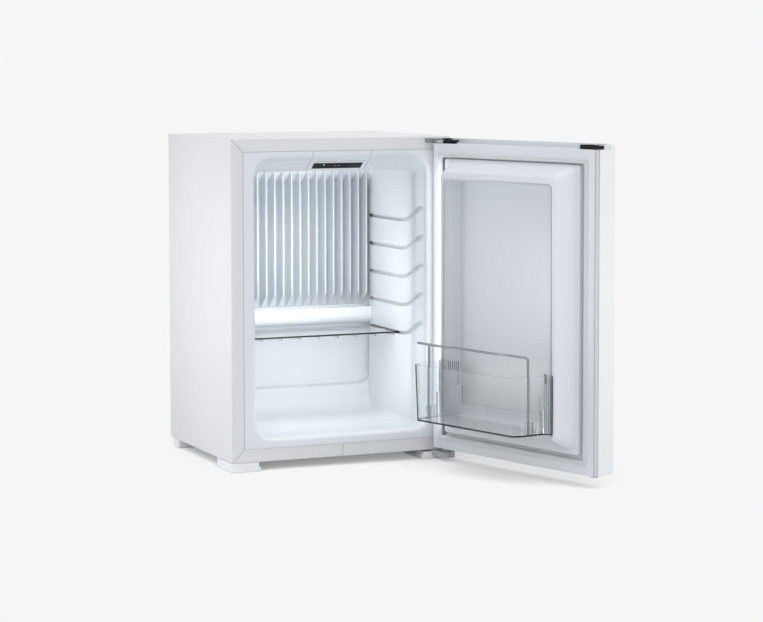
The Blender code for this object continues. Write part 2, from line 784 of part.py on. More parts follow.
def build_gutter(white):
    left = CAVITY_LEFT + PANEL_RISE + GUTTER_END_GAP
    right = CAVITY_RIGHT - PANEL_RISE - GUTTER_END_GAP
    gutter = add_object("drip_gutter", prism(gutter_section(0), "X", left, right), white)
    inside = prism(gutter_section(GUTTER_WALL), "X", left + GUTTER_WALL, right - GUTTER_WALL)
    cut(gutter, [inside])
    start = CAVITY_BACK - DRAIN_MOUTH - GUTTER_WALL
    hole = cylinder((CENTRE_X, DRAIN_LEVEL), DRAIN_RADIUS + FIT_GAP, "Y", start, CAVITY_BACK, 12)
    boolean(gutter, guide("gutter_outlet", [hole]), "DIFFERENCE")


def build_drain(grey):
    start = CAVITY_BACK - DRAIN_MOUTH
    y = REAR + DRAIN_STANDOFF
    corners = [
        (CENTRE_X, start, DRAIN_LEVEL),
        (CENTRE_X, y, DRAIN_LEVEL),
        (CENTRE_X, y, tray_floor() + TRAY_HEIGHT * 0.6),
    ]
    route = rounded_path(corners, DRAIN_RADIUS * 2.4)
    add_object("drain_tube", pipe(route, DRAIN_RADIUS, DRAIN_BORE), grey)


def tray_floor():
    return VESSEL_LEVEL + VESSEL_RADIUS + FIT_GAP


def lip_profile():
    """(depth, height) of the front face, lip and slanted band at the top of the mouth."""
    points = [(FRONT, CABINET_TOP - FRONT_FLANGE - 2 * FIT_GAP)]
    for k in range(5):
        angle = k / 4 * math.pi / 2
        depth = LIP_RADIUS * (1 - math.cos(angle))
        points.append((depth, LIP_TOP + LIP_RADIUS * (1 - math.sin(angle))))
    points.append((BAND_DEPTH - FIT_GAP, ceiling(BAND_DEPTH - FIT_GAP)))
    return points


def band_frame():
    """Start of the slanted band, its direction down and back, and its normal."""
    start = Vector((0, LIP_RADIUS, LIP_TOP))
    along = (Vector((0, BAND_DEPTH, CAVITY_CEILING)) - start).normalized()
    normal = Vector((0, along.z, -along.y))
    return start, along, normal


def band_block(middle, width, start, length, depth_in, depth_out):
    """A block standing in the band: start and length run down the slope."""
    origin, along, normal = band_frame()
    corners = []
    for run, depth in (
        (start, depth_out),
        (start + length, depth_out),
        (start + length, depth_in),
        (start, depth_in),
    ):
        point = origin + along * run + normal * depth
        corners.append((point.y, point.z))
    return prism(corners, "X", middle - width / 2, middle + width / 2)


def build_controls(white, glossy_black, green):
    """Housing flush with the lip and the band, with its window and status light."""
    profile = lip_profile()
    behind = BAND_DEPTH - FIT_GAP
    profile += [(behind, HOUSING_TOP), (LINER_WALL, HOUSING_TOP), (LINER_WALL, profile[0][1])]
    housing = add_object(
        "control_housing", prism(profile, "X", *housing_sides(FIT_GAP)), white
    )
    pocket = band_block(
        CENTRE_X,
        DISPLAY_WIDTH + 2 * FIT_GAP,
        DISPLAY_FROM_LIP - FIT_GAP,
        DISPLAY_HEIGHT + 2 * FIT_GAP,
        -DISPLAY_THICKNESS - FIT_GAP,
        DISPLAY_THICKNESS,
    )
    groove = band_block(
        CENTRE_X,
        HOUSING_WIDTH * 2,
        DISPLAY_GROOVE_FROM_LIP,
        DISPLAY_GROOVE,
        -DISPLAY_GROOVE,
        DISPLAY_THICKNESS,
    )
    cut(housing, [pocket, groove])
    window = add_object(
        "display_window",
        band_block(CENTRE_X, DISPLAY_WIDTH, DISPLAY_FROM_LIP, DISPLAY_HEIGHT, -DISPLAY_THICKNESS, 0),
        glossy_black,
    )
    cut(window, [led_body(LED_RADIUS + 0.1 * MM, -DISPLAY_THICKNESS * 2, DISPLAY_THICKNESS)])
    add_object("status_led", led_body(LED_RADIUS, -DISPLAY_THICKNESS, 0), green)


def led_body(radius, low, high):
    origin, along, normal = band_frame()
    centre = origin + along * (DISPLAY_FROM_LIP + DISPLAY_HEIGHT / 3)
    centre.x = CENTRE_X + LED_OFFSET
    side = Vector((1, 0, 0))
    loops = []
    for depth in (low, high):
        loops.append(
            [centre + normal * depth + side * a + along * b for a, b in circle((0, 0), radius, 12)]
        )
    return loft(loops)


def stepped_foot(name, x, y, top, material):
    """Foot with a wider pad below; the step is on the sides that face inward."""
    toe = FOOT_STEP / 3
    inner_left = x[0] + (FOOT_STEP if x[0] > CENTRE_X else 0)
    inner_right = x[1] - (FOOT_STEP if x[1] < CENTRE_X else 0)
    wide = (x[0], x[1], y[0], y[1])
    narrow = (inner_left, inner_right, y[0] + FOOT_STEP / 2, y[1] - FOOT_STEP)
    loops = []
    for (left, right, near, far), inset, height in (
        (wide, toe, 0),
        (wide, 0, toe),
        (wide, 0, FOOT_PAD),
        (narrow, 0, FOOT_PAD),
        (narrow, 0, top),
    ):
        outline = rounded_rect(left + inset, right - inset, near + inset, far - inset, FOOT_STEP, 3)
        loops.append(place(outline, "Z", height))
    add_object(name, loft(loops), material)


def build_feet(white, black):
    top = FOOT_HEIGHT - FIT_GAP
    under_plate = top - HINGE_PLATE - FIT_GAP
    front = (FRONT, FOOT_LENGTH)
    stepped_foot("foot_front_left", (0, FOOT_WIDTH), front, top, white)
    right = (CABINET_WIDTH - FOOT_WIDTH, CABINET_WIDTH)
    stepped_foot("foot_front_right", right, front, under_plate, white)
    rear_end = CABINET_DEPTH - REAR_FOOT_SETBACK
    rear = (rear_end - REAR_FOOT_SIZE, rear_end)
    near = REAR_FOOT_INSET
    far = REAR_FOOT_INSET + REAR_FOOT_SIZE
    stepped_foot("foot_rear_left", (near, far), rear, top, black)
    rear_right = (CABINET_WIDTH - far, CABINET_WIDTH - near)
    stepped_foot("foot_rear_right", rear_right, rear, top, black)


def nose_outline(left, right, back, radius):
    """Plate outline with a round nose about the hinge axis."""
    points = [(left, back), (left, back - 3 * MM), (HINGE_X - radius, HINGE_Y)]
    for k in range(1, 10):
        angle = math.pi + k / 10 * math.pi
        points.append((HINGE_X + radius * math.cos(angle), HINGE_Y + radius * math.sin(angle)))
    points += [(HINGE_X + radius, HINGE_Y), (right, back)]
    return points


def build_hinges(steel, pin_steel):
    """Plates fixed to the cabinet above and below the door, and their pins."""
    arm_low = DOOR_TOP + HINGE_CLEARANCE - HINGE_PLATE
    arm_high = arm_low + HINGE_PLATE
    arm = nose_outline(HINGE_PLATE_LEFT, HINGE_PLATE_RIGHT, FRONT - FIT_GAP, HINGE_NOSE)
    plate = add_object("top_hinge_plate", prism(arm, "Z", arm_low, arm_high), steel)
    leg_front = FRONT - FIT_GAP - HINGE_LEG
    leg = box(
        (HINGE_PLATE_LEFT, HINGE_PLATE_RIGHT),
        (leg_front, FRONT - FIT_GAP),
        (DOOR_FRAME_TOP + HINGE_CLEARANCE, arm_low + HINGE_PLATE / 2),
    )
    join(plate, leg)
    hole = PIN_RADIUS + FIT_GAP
    cut(plate, [cylinder((HINGE_X, HINGE_Y), hole, "Z", arm_low - MM, arm_high + MM, 16)])
    profile = [
        (PIN_RADIUS, DOOR_FRAME_TOP - PIN_DEPTH),
        (PIN_RADIUS, arm_high + FIT_GAP),
        (BUSH_RADIUS, arm_high + FIT_GAP),
        (BUSH_RADIUS, arm_high + FIT_GAP + PIN_HEAD),
    ]
    add_object("top_hinge_pin", turned((HINGE_X, HINGE_Y), profile), pin_steel)

    low_top = FOOT_HEIGHT - FIT_GAP
    left = HINGE_X - LOWER_PLATE_HALF
    right = CABINET_WIDTH - LOWER_PLATE_INSET
    nose = nose_outline(left, right, FRONT - FIT_GAP, LOWER_PLATE_NOSE)
    lower = add_object(
        "bottom_hinge_plate", prism(nose, "Z", LOWER_PLATE_BOTTOM, low_top), steel
    )
    tongue = box((left, right), (FRONT - MM, LOWER_PLATE_REACH), (low_top - HINGE_PLATE, low_top))
    join(lower, tongue)
    under = LOWER_PLATE_BOTTOM - MM
    cut(lower, [cylinder((HINGE_X, HINGE_Y), hole, "Z", under, FOOT_HEIGHT + MM, 16)])
    profile = [
        (BUSH_RADIUS, LOWER_PLATE_BOTTOM - FIT_GAP - PIN_HEAD),
        (BUSH_RADIUS, LOWER_PLATE_BOTTOM - FIT_GAP),
        (PIN_RADIUS, LOWER_PLATE_BOTTOM - FIT_GAP),
        (PIN_RADIUS, DOOR_BOTTOM + PIN_DEPTH),
    ]
    add_object("bottom_hinge_pin", turned((HINGE_X, HINGE_Y), profile), pin_steel)


def build_shelf(clear):
    """Ribbed plate whose side edges run in the lowest pair of grooves."""
    low = groove_levels()[-1] + FIT_GAP
    side = SHELF_SIDE_GAP
    plate = rounded_rect(
        CAVITY_LEFT + side, CAVITY_RIGHT - side, SHELF_FRONT, SHELF_BACK, SHELF_CORNER, 2
    )
    shelf = add_object("shelf", prism(plate, "Z", low, low + SHELF_THICKNESS), clear)
    right_rib = CAVITY_RIGHT - PANEL_RISE - SHELF_RIB_WIDTH
    ribs = []
    for i in range(SHELF_RIB_COUNT):
        x = right_rib - i * SHELF_RIB_PITCH
        half = SHELF_RIB_WIDTH / 2
        span = (SHELF_FRONT + SHELF_THICKNESS, SHELF_BACK - SHELF_THICKNESS)
        ribs.append(box((x - half, x + half), span, (low - SHELF_RIB_DEPTH, low + MM)))
    boolean(shelf, guide("shelf_ribs", ribs), "UNION")


def door_point(along, outward):
    """Closed-door coordinates, measured from the hinge end and the inner face, about the axis."""
    x = CABINET_WIDTH - DOOR_OVERHANG - along - HINGE_X
    y = -DOOR_GAP - outward - HINGE_Y
    return x, y


def door_loop(left, right, low, high, radius, outward, steps=3):
    outline = rounded_rect(left, right, low, high, radius, steps)
    return [Vector((*door_point(a, outward), z)) for a, z in outline]


def door_box(along, outward, z):
    x0, y0 = door_point(along[0], outward[0])
    x1, y1 = door_point(along[1], outward[1])
    return box((min(x0, x1), max(x0, x1)), (min(y0, y1), max(y0, y1)), z)


def build_door_skin(white, door):
    """Pan of painted sheet, cut back along the top for the hinge step."""
    loops = []
    inner = DOOR_THICKNESS - SHEET
    for inset, outward in (
        (SKIN_ROUNDING, inner),
        (SHEET, inner - SKIN_ROUNDING),
        (SHEET, SKIN_BACK),
        (0, SKIN_BACK),
        (0, DOOR_THICKNESS - SKIN_ROUNDING),
        (SKIN_ROUNDING * 0.3, DOOR_THICKNESS - SKIN_ROUNDING * 0.3),
        (SKIN_ROUNDING, DOOR_THICKNESS),
    ):
        radius = max(SKIN_ROUNDING - inset, SHEET / 2)
        ends = (inset, DOOR_WIDTH - inset)
        loops.append(door_loop(*ends, DOOR_BOTTOM + inset, DOOR_TOP - inset, radius, outward))
    skin = add_object("door_outer_panel", loft(loops), white, door)
    above = (DOOR_FRAME_TOP - FIT_GAP, DOOR_TOP + MM)
    step = door_box((-MM, DOOR_WIDTH + MM), (0, DOOR_STEP_DEPTH), above)
    cut(skin, [step, bush_bore(DOOR_BOTTOM - MM, DOOR_BOTTOM + 2 * MM)])


def bush_bore(low, high):
    return cylinder((0, 0), BUSH_RADIUS + FIT_GAP, "Z", low, high, 16)


def build_door_frame(white, door):
    """Moulded ring on the inner face, with the channel for the hinge parts on top."""
    end = SHEET + 2 * FIT_GAP
    loops = [frame_loop(inset * MM, outward * MM) for inset, outward in FRAME_EDGE]
    loops.append(frame_loop(end, FRAME_THICKNESS))
    loops.append(frame_loop(FRAME_WIDTH, FRAME_THICKNESS))
    loops.append(frame_loop(FRAME_WIDTH, 0))
    frame = add_object("door_frame", loft(loops, closed=True), white, door)
    low = DOOR_FRAME_TOP - CHANNEL_FLOOR
    back = DOOR_STEP_DEPTH - FIT_GAP
    profile = [
        (CHANNEL_START, low),
        (back, low),
        (back, DOOR_TOP - FIT_GAP),
        (back - CHANNEL_WALL, DOOR_TOP - FIT_GAP),
        (back - CHANNEL_WALL, DOOR_FRAME_TOP),
        (CHANNEL_START, DOOR_FRAME_TOP),
    ]
    points = [(door_point(0, outward)[1], z) for outward, z in profile]
    start = door_point(DOOR_WIDTH - end, 0)[0]
    join(frame, prism(points, "X", start, door_point(end, 0)[0]))
    cut(frame, [bush_bore(low - MM, DOOR_FRAME_TOP + MM)])


def frame_loop(inset, outward):
    ends = (inset, DOOR_WIDTH - inset)
    levels = (DOOR_BOTTOM + inset, DOOR_FRAME_TOP - inset)
    return door_loop(*ends, *levels, SHEET / 2, outward, 1)


def dyke_loop(offset, share, outward):
    """Outline of the raised edge between its base (share 0) and its crest (share 1)."""

    def between(base, crest):
        return base + (crest - base) * share

    outer = between(DYKE_BASE_OUTER, DYKE_CREST_OUTER) + offset
    inner = between(DYKE_BASE_INNER, DYKE_CREST_INNER) - offset
    top = between(DYKE_BASE_TOP, DYKE_CREST_TOP) - offset
    bar = between(DYKE_BAR_LOW - (DYKE_BASE_INNER - DYKE_CREST_INNER), DYKE_BAR_LOW) + offset
    low = between(DYKE_BASE_BOTTOM, DYKE_CREST_BOTTOM) + offset
    end = DOOR_WIDTH
    bend = between(DYKE_BASE_BEND, DYKE_CREST_BEND)
    corner = between(DYKE_BASE_CORNER, DYKE_CREST_CORNER)
    corners = [
        (inner, low, DYKE_END_CORNER),
        (outer, low, bend),
        (outer, top, corner),
        (end - outer, top, corner),
        (end - outer, low, bend),
        (end - inner, low, DYKE_END_CORNER),
        (end - inner, bar, DYKE_INNER_CORNER),
        (inner, bar, DYKE_INNER_CORNER),
    ]
    return [Vector((*door_point(a, outward), z)) for a, z in fillet(corners, 4)]


def dyke_body(offset, base):
    """The raised edge as a solid, shrunk by an offset."""
    crest = -DYKE_HEIGHT + offset
    shoulder = crest + DYKE_ROUNDING
    share = -shoulder / DYKE_HEIGHT
    loops = [dyke_loop(offset, 0, base), dyke_loop(offset, share, shoulder)]
    loops.append(dyke_loop(offset + DYKE_ROUNDING / 3, 1, crest))
    return loft(loops)


def plate_loop(inset, outward):
    ends = (PLATE_INSET + inset, DOOR_WIDTH - PLATE_INSET - inset)
    return door_loop(*ends, PLATE_BOTTOM + inset, PLATE_TOP - inset, PLATE_CORNER, outward)


def build_door_liner(white, door):
    """Moulded inner face: a plate with hollow raised edges and the ledges of the bin."""
    base = loft([plate_loop(0, LINER_WALL), plate_loop(0, 0)])
    liner = add_object("door_inner_liner", base, white, door)
    join(liner, dyke_body(0, LINER_WALL / 2))
    cut(liner, [dyke_body(LINER_WALL, LINER_WALL + MM)])
    high = BIN_BOTTOM - FIT_GAP
    across = (-BIN_BACK - LEDGE_HEIGHT, LINER_WALL / 2)
    near = DYKE_CREST_INNER + MM
    far = near + LEDGE_LENGTH
    ledges = [
        door_box(ends, across, (high - LEDGE_HEIGHT, high))
        for ends in ((near, far), (DOOR_WIDTH - far, DOOR_WIDTH - near))
    ]
    boolean(liner, guide("bin_ledges", ledges, door), "UNION")


def build_door_foam(yellow, door):
    inset = SHEET + FIT_GAP
    front = FRAME_THICKNESS + FIT_GAP
    low = DOOR_BOTTOM + inset
    high = DOOR_FRAME_TOP - CHANNEL_FLOOR - 2 * FIT_GAP
    slab = [
        door_loop(inset, DOOR_WIDTH - inset, low, high, SKIN_ROUNDING, outward)
        for outward in (DOOR_THICKNESS - inset - SKIN_ROUNDING, front)
    ]
    foam = add_object("door_foam", loft(slab), yellow, door)
    plug = FRAME_WIDTH + PLUG_INSET
    start = LINER_WALL + FIT_GAP
    span = (PLATE_BOTTOM + PLUG_INSET, PLATE_TOP - PLUG_INSET)
    join(foam, door_box((plug, DOOR_WIDTH - plug), (start, front + MM), span))
    ridge = guide("foam_ridge", [dyke_body(LINER_WALL + FIT_GAP, start + MM)], door)
    boolean(foam, ridge, "UNION")
    below = bush_bore(low - MM, DOOR_BOTTOM + BUSH_DEPTH + 2 * MM)
    above = bush_bore(high - BUSH_DEPTH, high + MM)
    cut(foam, [below, above])


def build_gasket(grey, door):
    """Magnetic seal: a foot and a soft bead, run round the door's inner face."""
    loops = []
    width = GASKET_WIDTH
    for inset, rise in (
        (0, FIT_GAP),
        (0, GASKET_FOOT),
        (width * 0.18, GASKET_HEIGHT * 0.5),
        (width * 0.2, GASKET_HEIGHT - MM),
        (width * 0.3, GASKET_HEIGHT),
        (width * 0.8, GASKET_HEIGHT),
        (width * 0.9, GASKET_HEIGHT - MM),
        (width * 0.85, GASKET_HEIGHT * 0.5),
        (width, GASKET_FOOT),
        (width, FIT_GAP),
    ):
        edge = GASKET_INSET + inset
        levels = (DOOR_BOTTOM + edge, DOOR_FRAME_TOP - edge)
        loops.append(door_loop(edge, DOOR_WIDTH - edge, *levels, GASKET_CORNER, -rise, 2))
    add_object("door_gasket", loft(loops, closed=True), grey, door)


def build_door_fittings(black, grey, door):
    """Bushes at the hinge end, and the blanks that take their place at the free end."""
    base = DOOR_FRAME_TOP + FIT_GAP
    top = base + CAP_HEIGHT
    deep = (CAP_START, CAP_END)
    start = SHEET + 3 * FIT_GAP
    cap = door_box((start, start + CAP_LENGTH), deep, (base, top))
    bush = add_object("top_hinge_bush", cap, black, door)
    join(bush, cylinder((0, 0), BUSH_RADIUS, "Z", base - BUSH_DEPTH + MM, base + MM))
    cut(bush, [cylinder((0, 0), BUSH_BORE, "Z", base - BUSH_DEPTH, top + MM)])

    far = DOOR_WIDTH - start
    thin = base + CAP_HEIGHT * 0.6
    slab = door_box((far - CAP_LENGTH, far), deep, (base, thin))
    blank = add_object("top_hinge_blank", slab, black, door)
    knob = door_point(DOOR_WIDTH - KNOB_FROM_END, HINGE_FROM_DOOR_FACE)
    block_end = far - CAP_LENGTH * 0.72
    block = door_box((far - CAP_LENGTH, block_end), deep, (base + MM, DOOR_TOP - MM))
    button = cylinder(knob, KNOB_RADIUS, "Z", base + MM, DOOR_TOP - MM / 2, 16)
    boolean(blank, guide("blank_tops", [block, button], door), "UNION")

    under = DOOR_BOTTOM - FIT_GAP
    profile = [
        (BUSH_BORE, FOOT_HEIGHT),
        (BUSH_FLANGE, FOOT_HEIGHT),
        (BUSH_FLANGE, under),
        (BUSH_RADIUS, under),
        (BUSH_RADIUS, DOOR_BOTTOM + BUSH_DEPTH),
        (BUSH_BORE, DOOR_BOTTOM + BUSH_DEPTH),
    ]
    loops = [place(circle((0, 0), radius), "Z", z) for radius, z in profile]
    add_object("bottom_hinge_bush", loft(loops, closed=True), grey, door)
    spot = door_point(DOOR_WIDTH - HINGE_FROM_DOOR_END, HINGE_FROM_DOOR_FACE)
    plug = cylinder(spot, BLANK_RADIUS, "Z", under - BLANK_HEIGHT, under, 16)
    add_object("bottom_hinge_blank", plug, grey, door)


def bin_outline(inset, lean):
    """Plan of the bin from its low back to its front, widened by the lean at the front."""
    hook = DYKE_HEIGHT + FIT_GAP
    half = [
        (BIN_BACK_END, BIN_BACK + inset, 0),
        (DYKE_CREST_INNER + 2 * FIT_GAP + inset, hook + inset * 0.7, 0),
        (BIN_BRACKET_END + inset, hook + inset, 0),
        (BIN_BRACKET_END + inset, hook + 2 * BIN_WALL + FIT_GAP, 0),
        (DYKE_BASE_INNER + inset, BIN_BRACKET_FRONT, 0),
        (BIN_END + inset, BIN_END_FRONT + lean, BIN_ROUNDING),
        (BIN_FRONT_CORNER + inset * 0.6, BIN_FRONT + lean - inset, BIN_ROUNDING),
    ]
    mirrored = [(DOOR_WIDTH - a, b, r) for a, b, r in reversed(half)]
    return fillet(half + mirrored, 3)


def bin_loop(inset, z):
    lean = BIN_LEAN * (z - BIN_BOTTOM) / (BIN_TOP - BIN_BOTTOM)
    return [Vector((*door_point(a, -b), z)) for a, b in bin_outline(inset, lean)]


def guard_legs():
    ends = (GUARD_LEG_INSET, DOOR_WIDTH - GUARD_LEG_INSET)
    return [door_point(along, -GUARD_LEG_DEPTH) for along in ends]


def build_bin(clear, door):
    """Clear tub with ribbed ends that hook on the door's raised edges."""
    floor = BIN_BOTTOM + BIN_WALL
    outside = loft([bin_loop(0, BIN_BOTTOM), bin_loop(0, BIN_TOP)])
    tub = add_object("door_bin", outside, clear, door)
    inside = loft([bin_loop(BIN_WALL, floor), bin_loop(BIN_WALL, BIN_TOP + MM)])
    back = door_box(
        (BIN_BACK_END + BIN_WALL, DOOR_WIDTH - BIN_BACK_END - BIN_WALL),
        (-BIN_BACK - BIN_WALL - MM, 0),
        (BIN_BOTTOM + BIN_BACK_HEIGHT, BIN_TOP + 2 * MM),
    )
    cut(tub, [inside])
    boolean(tub, guide("bin_back_cut", [back], door), "DIFFERENCE")
    sockets = [
        cylinder(leg, SOCKET_RADIUS, "Z", BIN_BOTTOM + MM, BIN_BOTTOM + SOCKET_HEIGHT, 14)
        for leg in guard_legs()
    ]
    boolean(tub, guide("guard_sockets", sockets, door), "UNION")
    bores = [
        cylinder(leg, GUARD_RADIUS + FIT_GAP, "Z", floor + FIT_GAP, BIN_TOP, 14)
        for leg in guard_legs()
    ]
    boolean(tub, guide("socket_bores", bores, door), "DIFFERENCE")


def build_guard(clear, door):
    """One bent rod: two legs in the sockets, two arms and the front bar."""
    foot = BIN_BOTTOM + BIN_WALL + 2 * FIT_GAP
    half = [
        (GUARD_LEG_INSET, GUARD_LEG_DEPTH, foot),
        (GUARD_LEG_INSET, GUARD_LEG_DEPTH, GUARD_TOP - GUARD_RISE),
        (GUARD_LEG_INSET + GUARD_TAPER, GUARD_FRONT, GUARD_TOP),
    ]
    corners = half + [(DOOR_WIDTH - a, b, z) for a, b, z in reversed(half)]
    corners = [(*door_point(a, -b), z) for a, b, z in corners]
    body = rod(rounded_path(corners, GUARD_CORNER, 5), GUARD_RADIUS, 10)
    add_object("bottle_guard", body, clear, door)


def stepped_rod(stations, centre, steps=12):
    """Rod along X whose section changes: (x, half size, square or round)."""
    loops = []
    for x, size, square in stations:
        ring = []
        for k in range(steps):
            angle = math.tau * (k + 0.5) / steps
            a = math.cos(angle)
            b = math.sin(angle)
            if square:
                scale = size / max(abs(a), abs(b))
            else:
                scale = size
            ring.append(Vector((x, centre[0] + a * scale, centre[1] + b * scale)))
        loops.append(ring)
    return loft(loops)


def build_condenser(steel):
    """Sloping tube across the top of the unit with square plates threaded on it."""
    left = BOILER_X + CONDENSER_START
    right = EVAPORATOR_RIGHT - DOWNPIPE_OFFSET
    plate = SHEET
    pitch = (right - left - 2 * TUBE_RADIUS) / (CONDENSER_PLATES - 1)
    stations = [(left, TUBE_RADIUS, False)]
    for i in range(CONDENSER_PLATES):
        x = left + TUBE_RADIUS + i * pitch
        stations += [
            (x, TUBE_RADIUS, False),
            (x, CONDENSER_PLATE_SIZE / 2, True),
            (x + plate, CONDENSER_PLATE_SIZE / 2, True),
            (x + plate, TUBE_RADIUS, False),
        ]
    stations.append((right, TUBE_RADIUS, False))
    body = stepped_rod(stations, (REAR + UNIT_PLANE, CONDENSER_LEVEL))
    for vert in body.verts:
        vert.co.z -= CONDENSER_FALL * (vert.co.x - left) / (right - left)
    add_object("condenser", body, steel)
    return left, right


def build_cooling_unit(steel, galvanised, black, grey):
    """Absorption unit hung on the back panel."""
    y = REAR + UNIT_PLANE
    condenser_left, condenser_right = build_condenser(steel)
    cover = [
        (BOILER_RADIUS * 0.6, BOILER_BOTTOM),
        (BOILER_RADIUS, BOILER_BOTTOM + BOILER_LID),
        (BOILER_RADIUS, BOILER_TOP - BOILER_LID),
        (BOILER_RADIUS * 0.6, BOILER_TOP),
    ]
    add_object("boiler_cover", turned((BOILER_X, y), cover), galvanised)
    riser = [
        (BOILER_X, y, BOILER_TOP + FIT_GAP),
        (BOILER_X, y, CONDENSER_LEVEL),
        (condenser_left - FIT_GAP, y, CONDENSER_LEVEL),
    ]
    add_object("boiler_tube", rod(rounded_path(riser, RISER_BEND), TUBE_RADIUS, 12), steel)
    fall = CONDENSER_LEVEL - CONDENSER_FALL
    downpipe = [
        (condenser_right + FIT_GAP, y, fall),
        (EVAPORATOR_RIGHT + DOWNPIPE_OFFSET, y, fall),
        (EVAPORATOR_RIGHT + DOWNPIPE_OFFSET, y, COIL_TOP + COIL_PITCH * 0.6),
    ]
    pipe_run = rounded_path(downpipe, DOWNPIPE_BEND)
    add_object("gas_exchanger", rod(pipe_run, TUBE_RADIUS, 12), steel)
    add_object("evaporator_tube", rod(evaporator_route(), EVAPORATOR_RADIUS, 10), steel)
    build_absorber(steel, y)
    build_tray(black)
    build_straps(galvanised, y)
    build_electrics(black, grey)


def coil_levels():
    return [COIL_TOP - i * COIL_PITCH for i in range(COIL_RUNS)]


def build_absorber(steel, y):
    """Serpentine falling into the vessel that it drains to."""
    side = COIL_LEFT
    other = COIL_RIGHT
    corners = [(other, y, COIL_TOP), (side, y, COIL_TOP)]
    for level in coil_levels()[1:]:
        corners.append((side, y, level))
        corners.append((other, y, level))
        side, other = other, side
    route = rounded_path(corners, COIL_PITCH * 0.45, 5)
    add_object("absorber_coil", rod(route, TUBE_RADIUS, 12), steel)
    left = COIL_LEFT - VESSEL_DOME
    right = COIL_RIGHT + VESSEL_DOME
    stations = [
        (left, VESSEL_RADIUS * 0.4, False),
        (left + VESSEL_DOME * 0.4, VESSEL_RADIUS * 0.85, False),
        (left + VESSEL_DOME, VESSEL_RADIUS, False),
        (right - VESSEL_DOME, VESSEL_RADIUS, False),
        (right - VESSEL_DOME * 0.4, VESSEL_RADIUS * 0.85, False),
        (right, VESSEL_RADIUS * 0.4, False),
    ]
    add_object("absorber_vessel", stepped_rod(stations, (y, VESSEL_LEVEL), steps=20), steel)


def build_tray(black):
    """Open dish on the warm vessel, where the drained water dries off."""
    x = (COIL_LEFT + COIL_RIGHT) / 2
    y = REAR + UNIT_PLANE
    loops = []
    wall = TRAY_WALL
    floor = tray_floor()
    high = floor + TRAY_HEIGHT
    for grow, z in ((0, floor), (TRAY_FLARE, high), (TRAY_FLARE - wall, high), (-wall, floor + wall)):
        half = TRAY_LENGTH / 2 + grow
        reach = TRAY_WIDTH / 2 + grow
        outline = rounded_rect(x - half, x + half, y - reach, y + reach, 2 * TRAY_FLARE, 3)
        loops.append(place(outline, "Z", z))
    add_object("evaporation_tray", loft(loops), black)


def build_straps(galvanised, y):
    """Upright straps between the back panel and the unit, and two blocks above and beside."""
    start = REAR + FIT_GAP
    half = STRAP_WIDTH / 2
    low = VESSEL_LEVEL - VESSEL_RADIUS
    high = COIL_TOP + 2 * TUBE_RADIUS
    face = y - TUBE_RADIUS - FIT_GAP
    recess = y - VESSEL_RADIUS - FIT_GAP
    split = VESSEL_LEVEL + VESSEL_RADIUS + STRAP_SHOULDER
    profile = [
        (start, low),
        (recess, low),
        (recess, split),
        (face, split + 4 * STRAP_THICKNESS),
        (face, high),
        (face - STRAP_THICKNESS, high),
        (face - STRAP_THICKNESS, split + 5 * STRAP_THICKNESS),
        (start + STRAP_THICKNESS, split + STRAP_THICKNESS),
        (start, split + STRAP_THICKNESS),
    ]
    for name, x in (
        ("unit_strap_left", COIL_LEFT + STRAP_INSET),
        ("unit_strap_right", COIL_RIGHT - STRAP_INSET),
    ):
        add_object(name, prism(profile, "X", x - half, x + half), galvanised)
    clamp = box(
        (BOILER_X - CLAMP_HALF, BOILER_X + CLAMP_HALF),
        (start, y - BOILER_RADIUS - FIT_GAP),
        (BOILER_BOTTOM + CLAMP_MARGIN, BOILER_TOP - CLAMP_MARGIN),
    )
    add_object("boiler_bracket", clamp, galvanised)
    middle = EVAPORATOR_RIGHT + DOWNPIPE_OFFSET
    under = CONDENSER_LEVEL - CONDENSER_FALL - CLAMP_MARGIN
    hanger = box((middle - half, middle + half), (start, face), (under - HANGER_HALF, under + HANGER_HALF))
    add_object("condenser_bracket", hanger, galvanised)


def inlet_outline(grow):
    """Outline of the mains inlet's hollow, grown by a distance, in the middle of the box."""
    x = (BOX_LEFT + BOX_RIGHT) / 2
    z = (BOX_BOTTOM + BOX_TOP) / 2
    half = INLET_WIDTH / 2 + grow
    tall = INLET_HEIGHT / 2 + grow
    return rounded_rect(x - half, x + half, z - tall, z + tall, INLET_CORNER, 3)


def build_electrics(black, grey):
    """Box of the control board, with the socket of the mains inlet in its rear face."""
    start = REAR + FIT_GAP
    face = start + BOX_DEPTH
    floor = face - INLET_DEPTH - INLET_WALL
    outline = rounded_rect(BOX_LEFT, BOX_RIGHT, BOX_BOTTOM, BOX_TOP, BOX_CORNER, 3)
    case = add_object("electronics_box", prism(outline, "Y", start, face), black)
    cut(case, [prism(inlet_outline(INLET_WALL), "Y", floor, face + MM)])
    socket = prism(
        inlet_outline(INLET_WALL - FIT_GAP), "Y", floor + FIT_GAP, face + INLET_WALL / 2
    )
    inlet = add_object("mains_inlet", socket, grey)
    cut(inlet, [prism(inlet_outline(0), "Y", face - INLET_DEPTH, face + INLET_WALL)])


def stand_on_origin():
    """Move everything so that the origin lies under the middle of the bounding box."""
    view = bpy.context.evaluated_depsgraph_get()
    low = Vector((math.inf,) * 3)
    high = Vector((-math.inf,) * 3)
    for item in bpy.data.objects:
        if item.type != "MESH" or item.hide_render:
            continue
        shown = item.evaluated_get(view)
        for vertex in shown.to_mesh().vertices:
            point = shown.matrix_world @ vertex.co
            low = Vector(map(min, low, point))
            high = Vector(map(max, high, point))
        shown.to_mesh_clear()
    shift = Vector((-(low.x + high.x) / 2, -(low.y + high.y) / 2, -low.z))
    for item in bpy.data.objects:
        if item.parent is None:
            item.location += shift


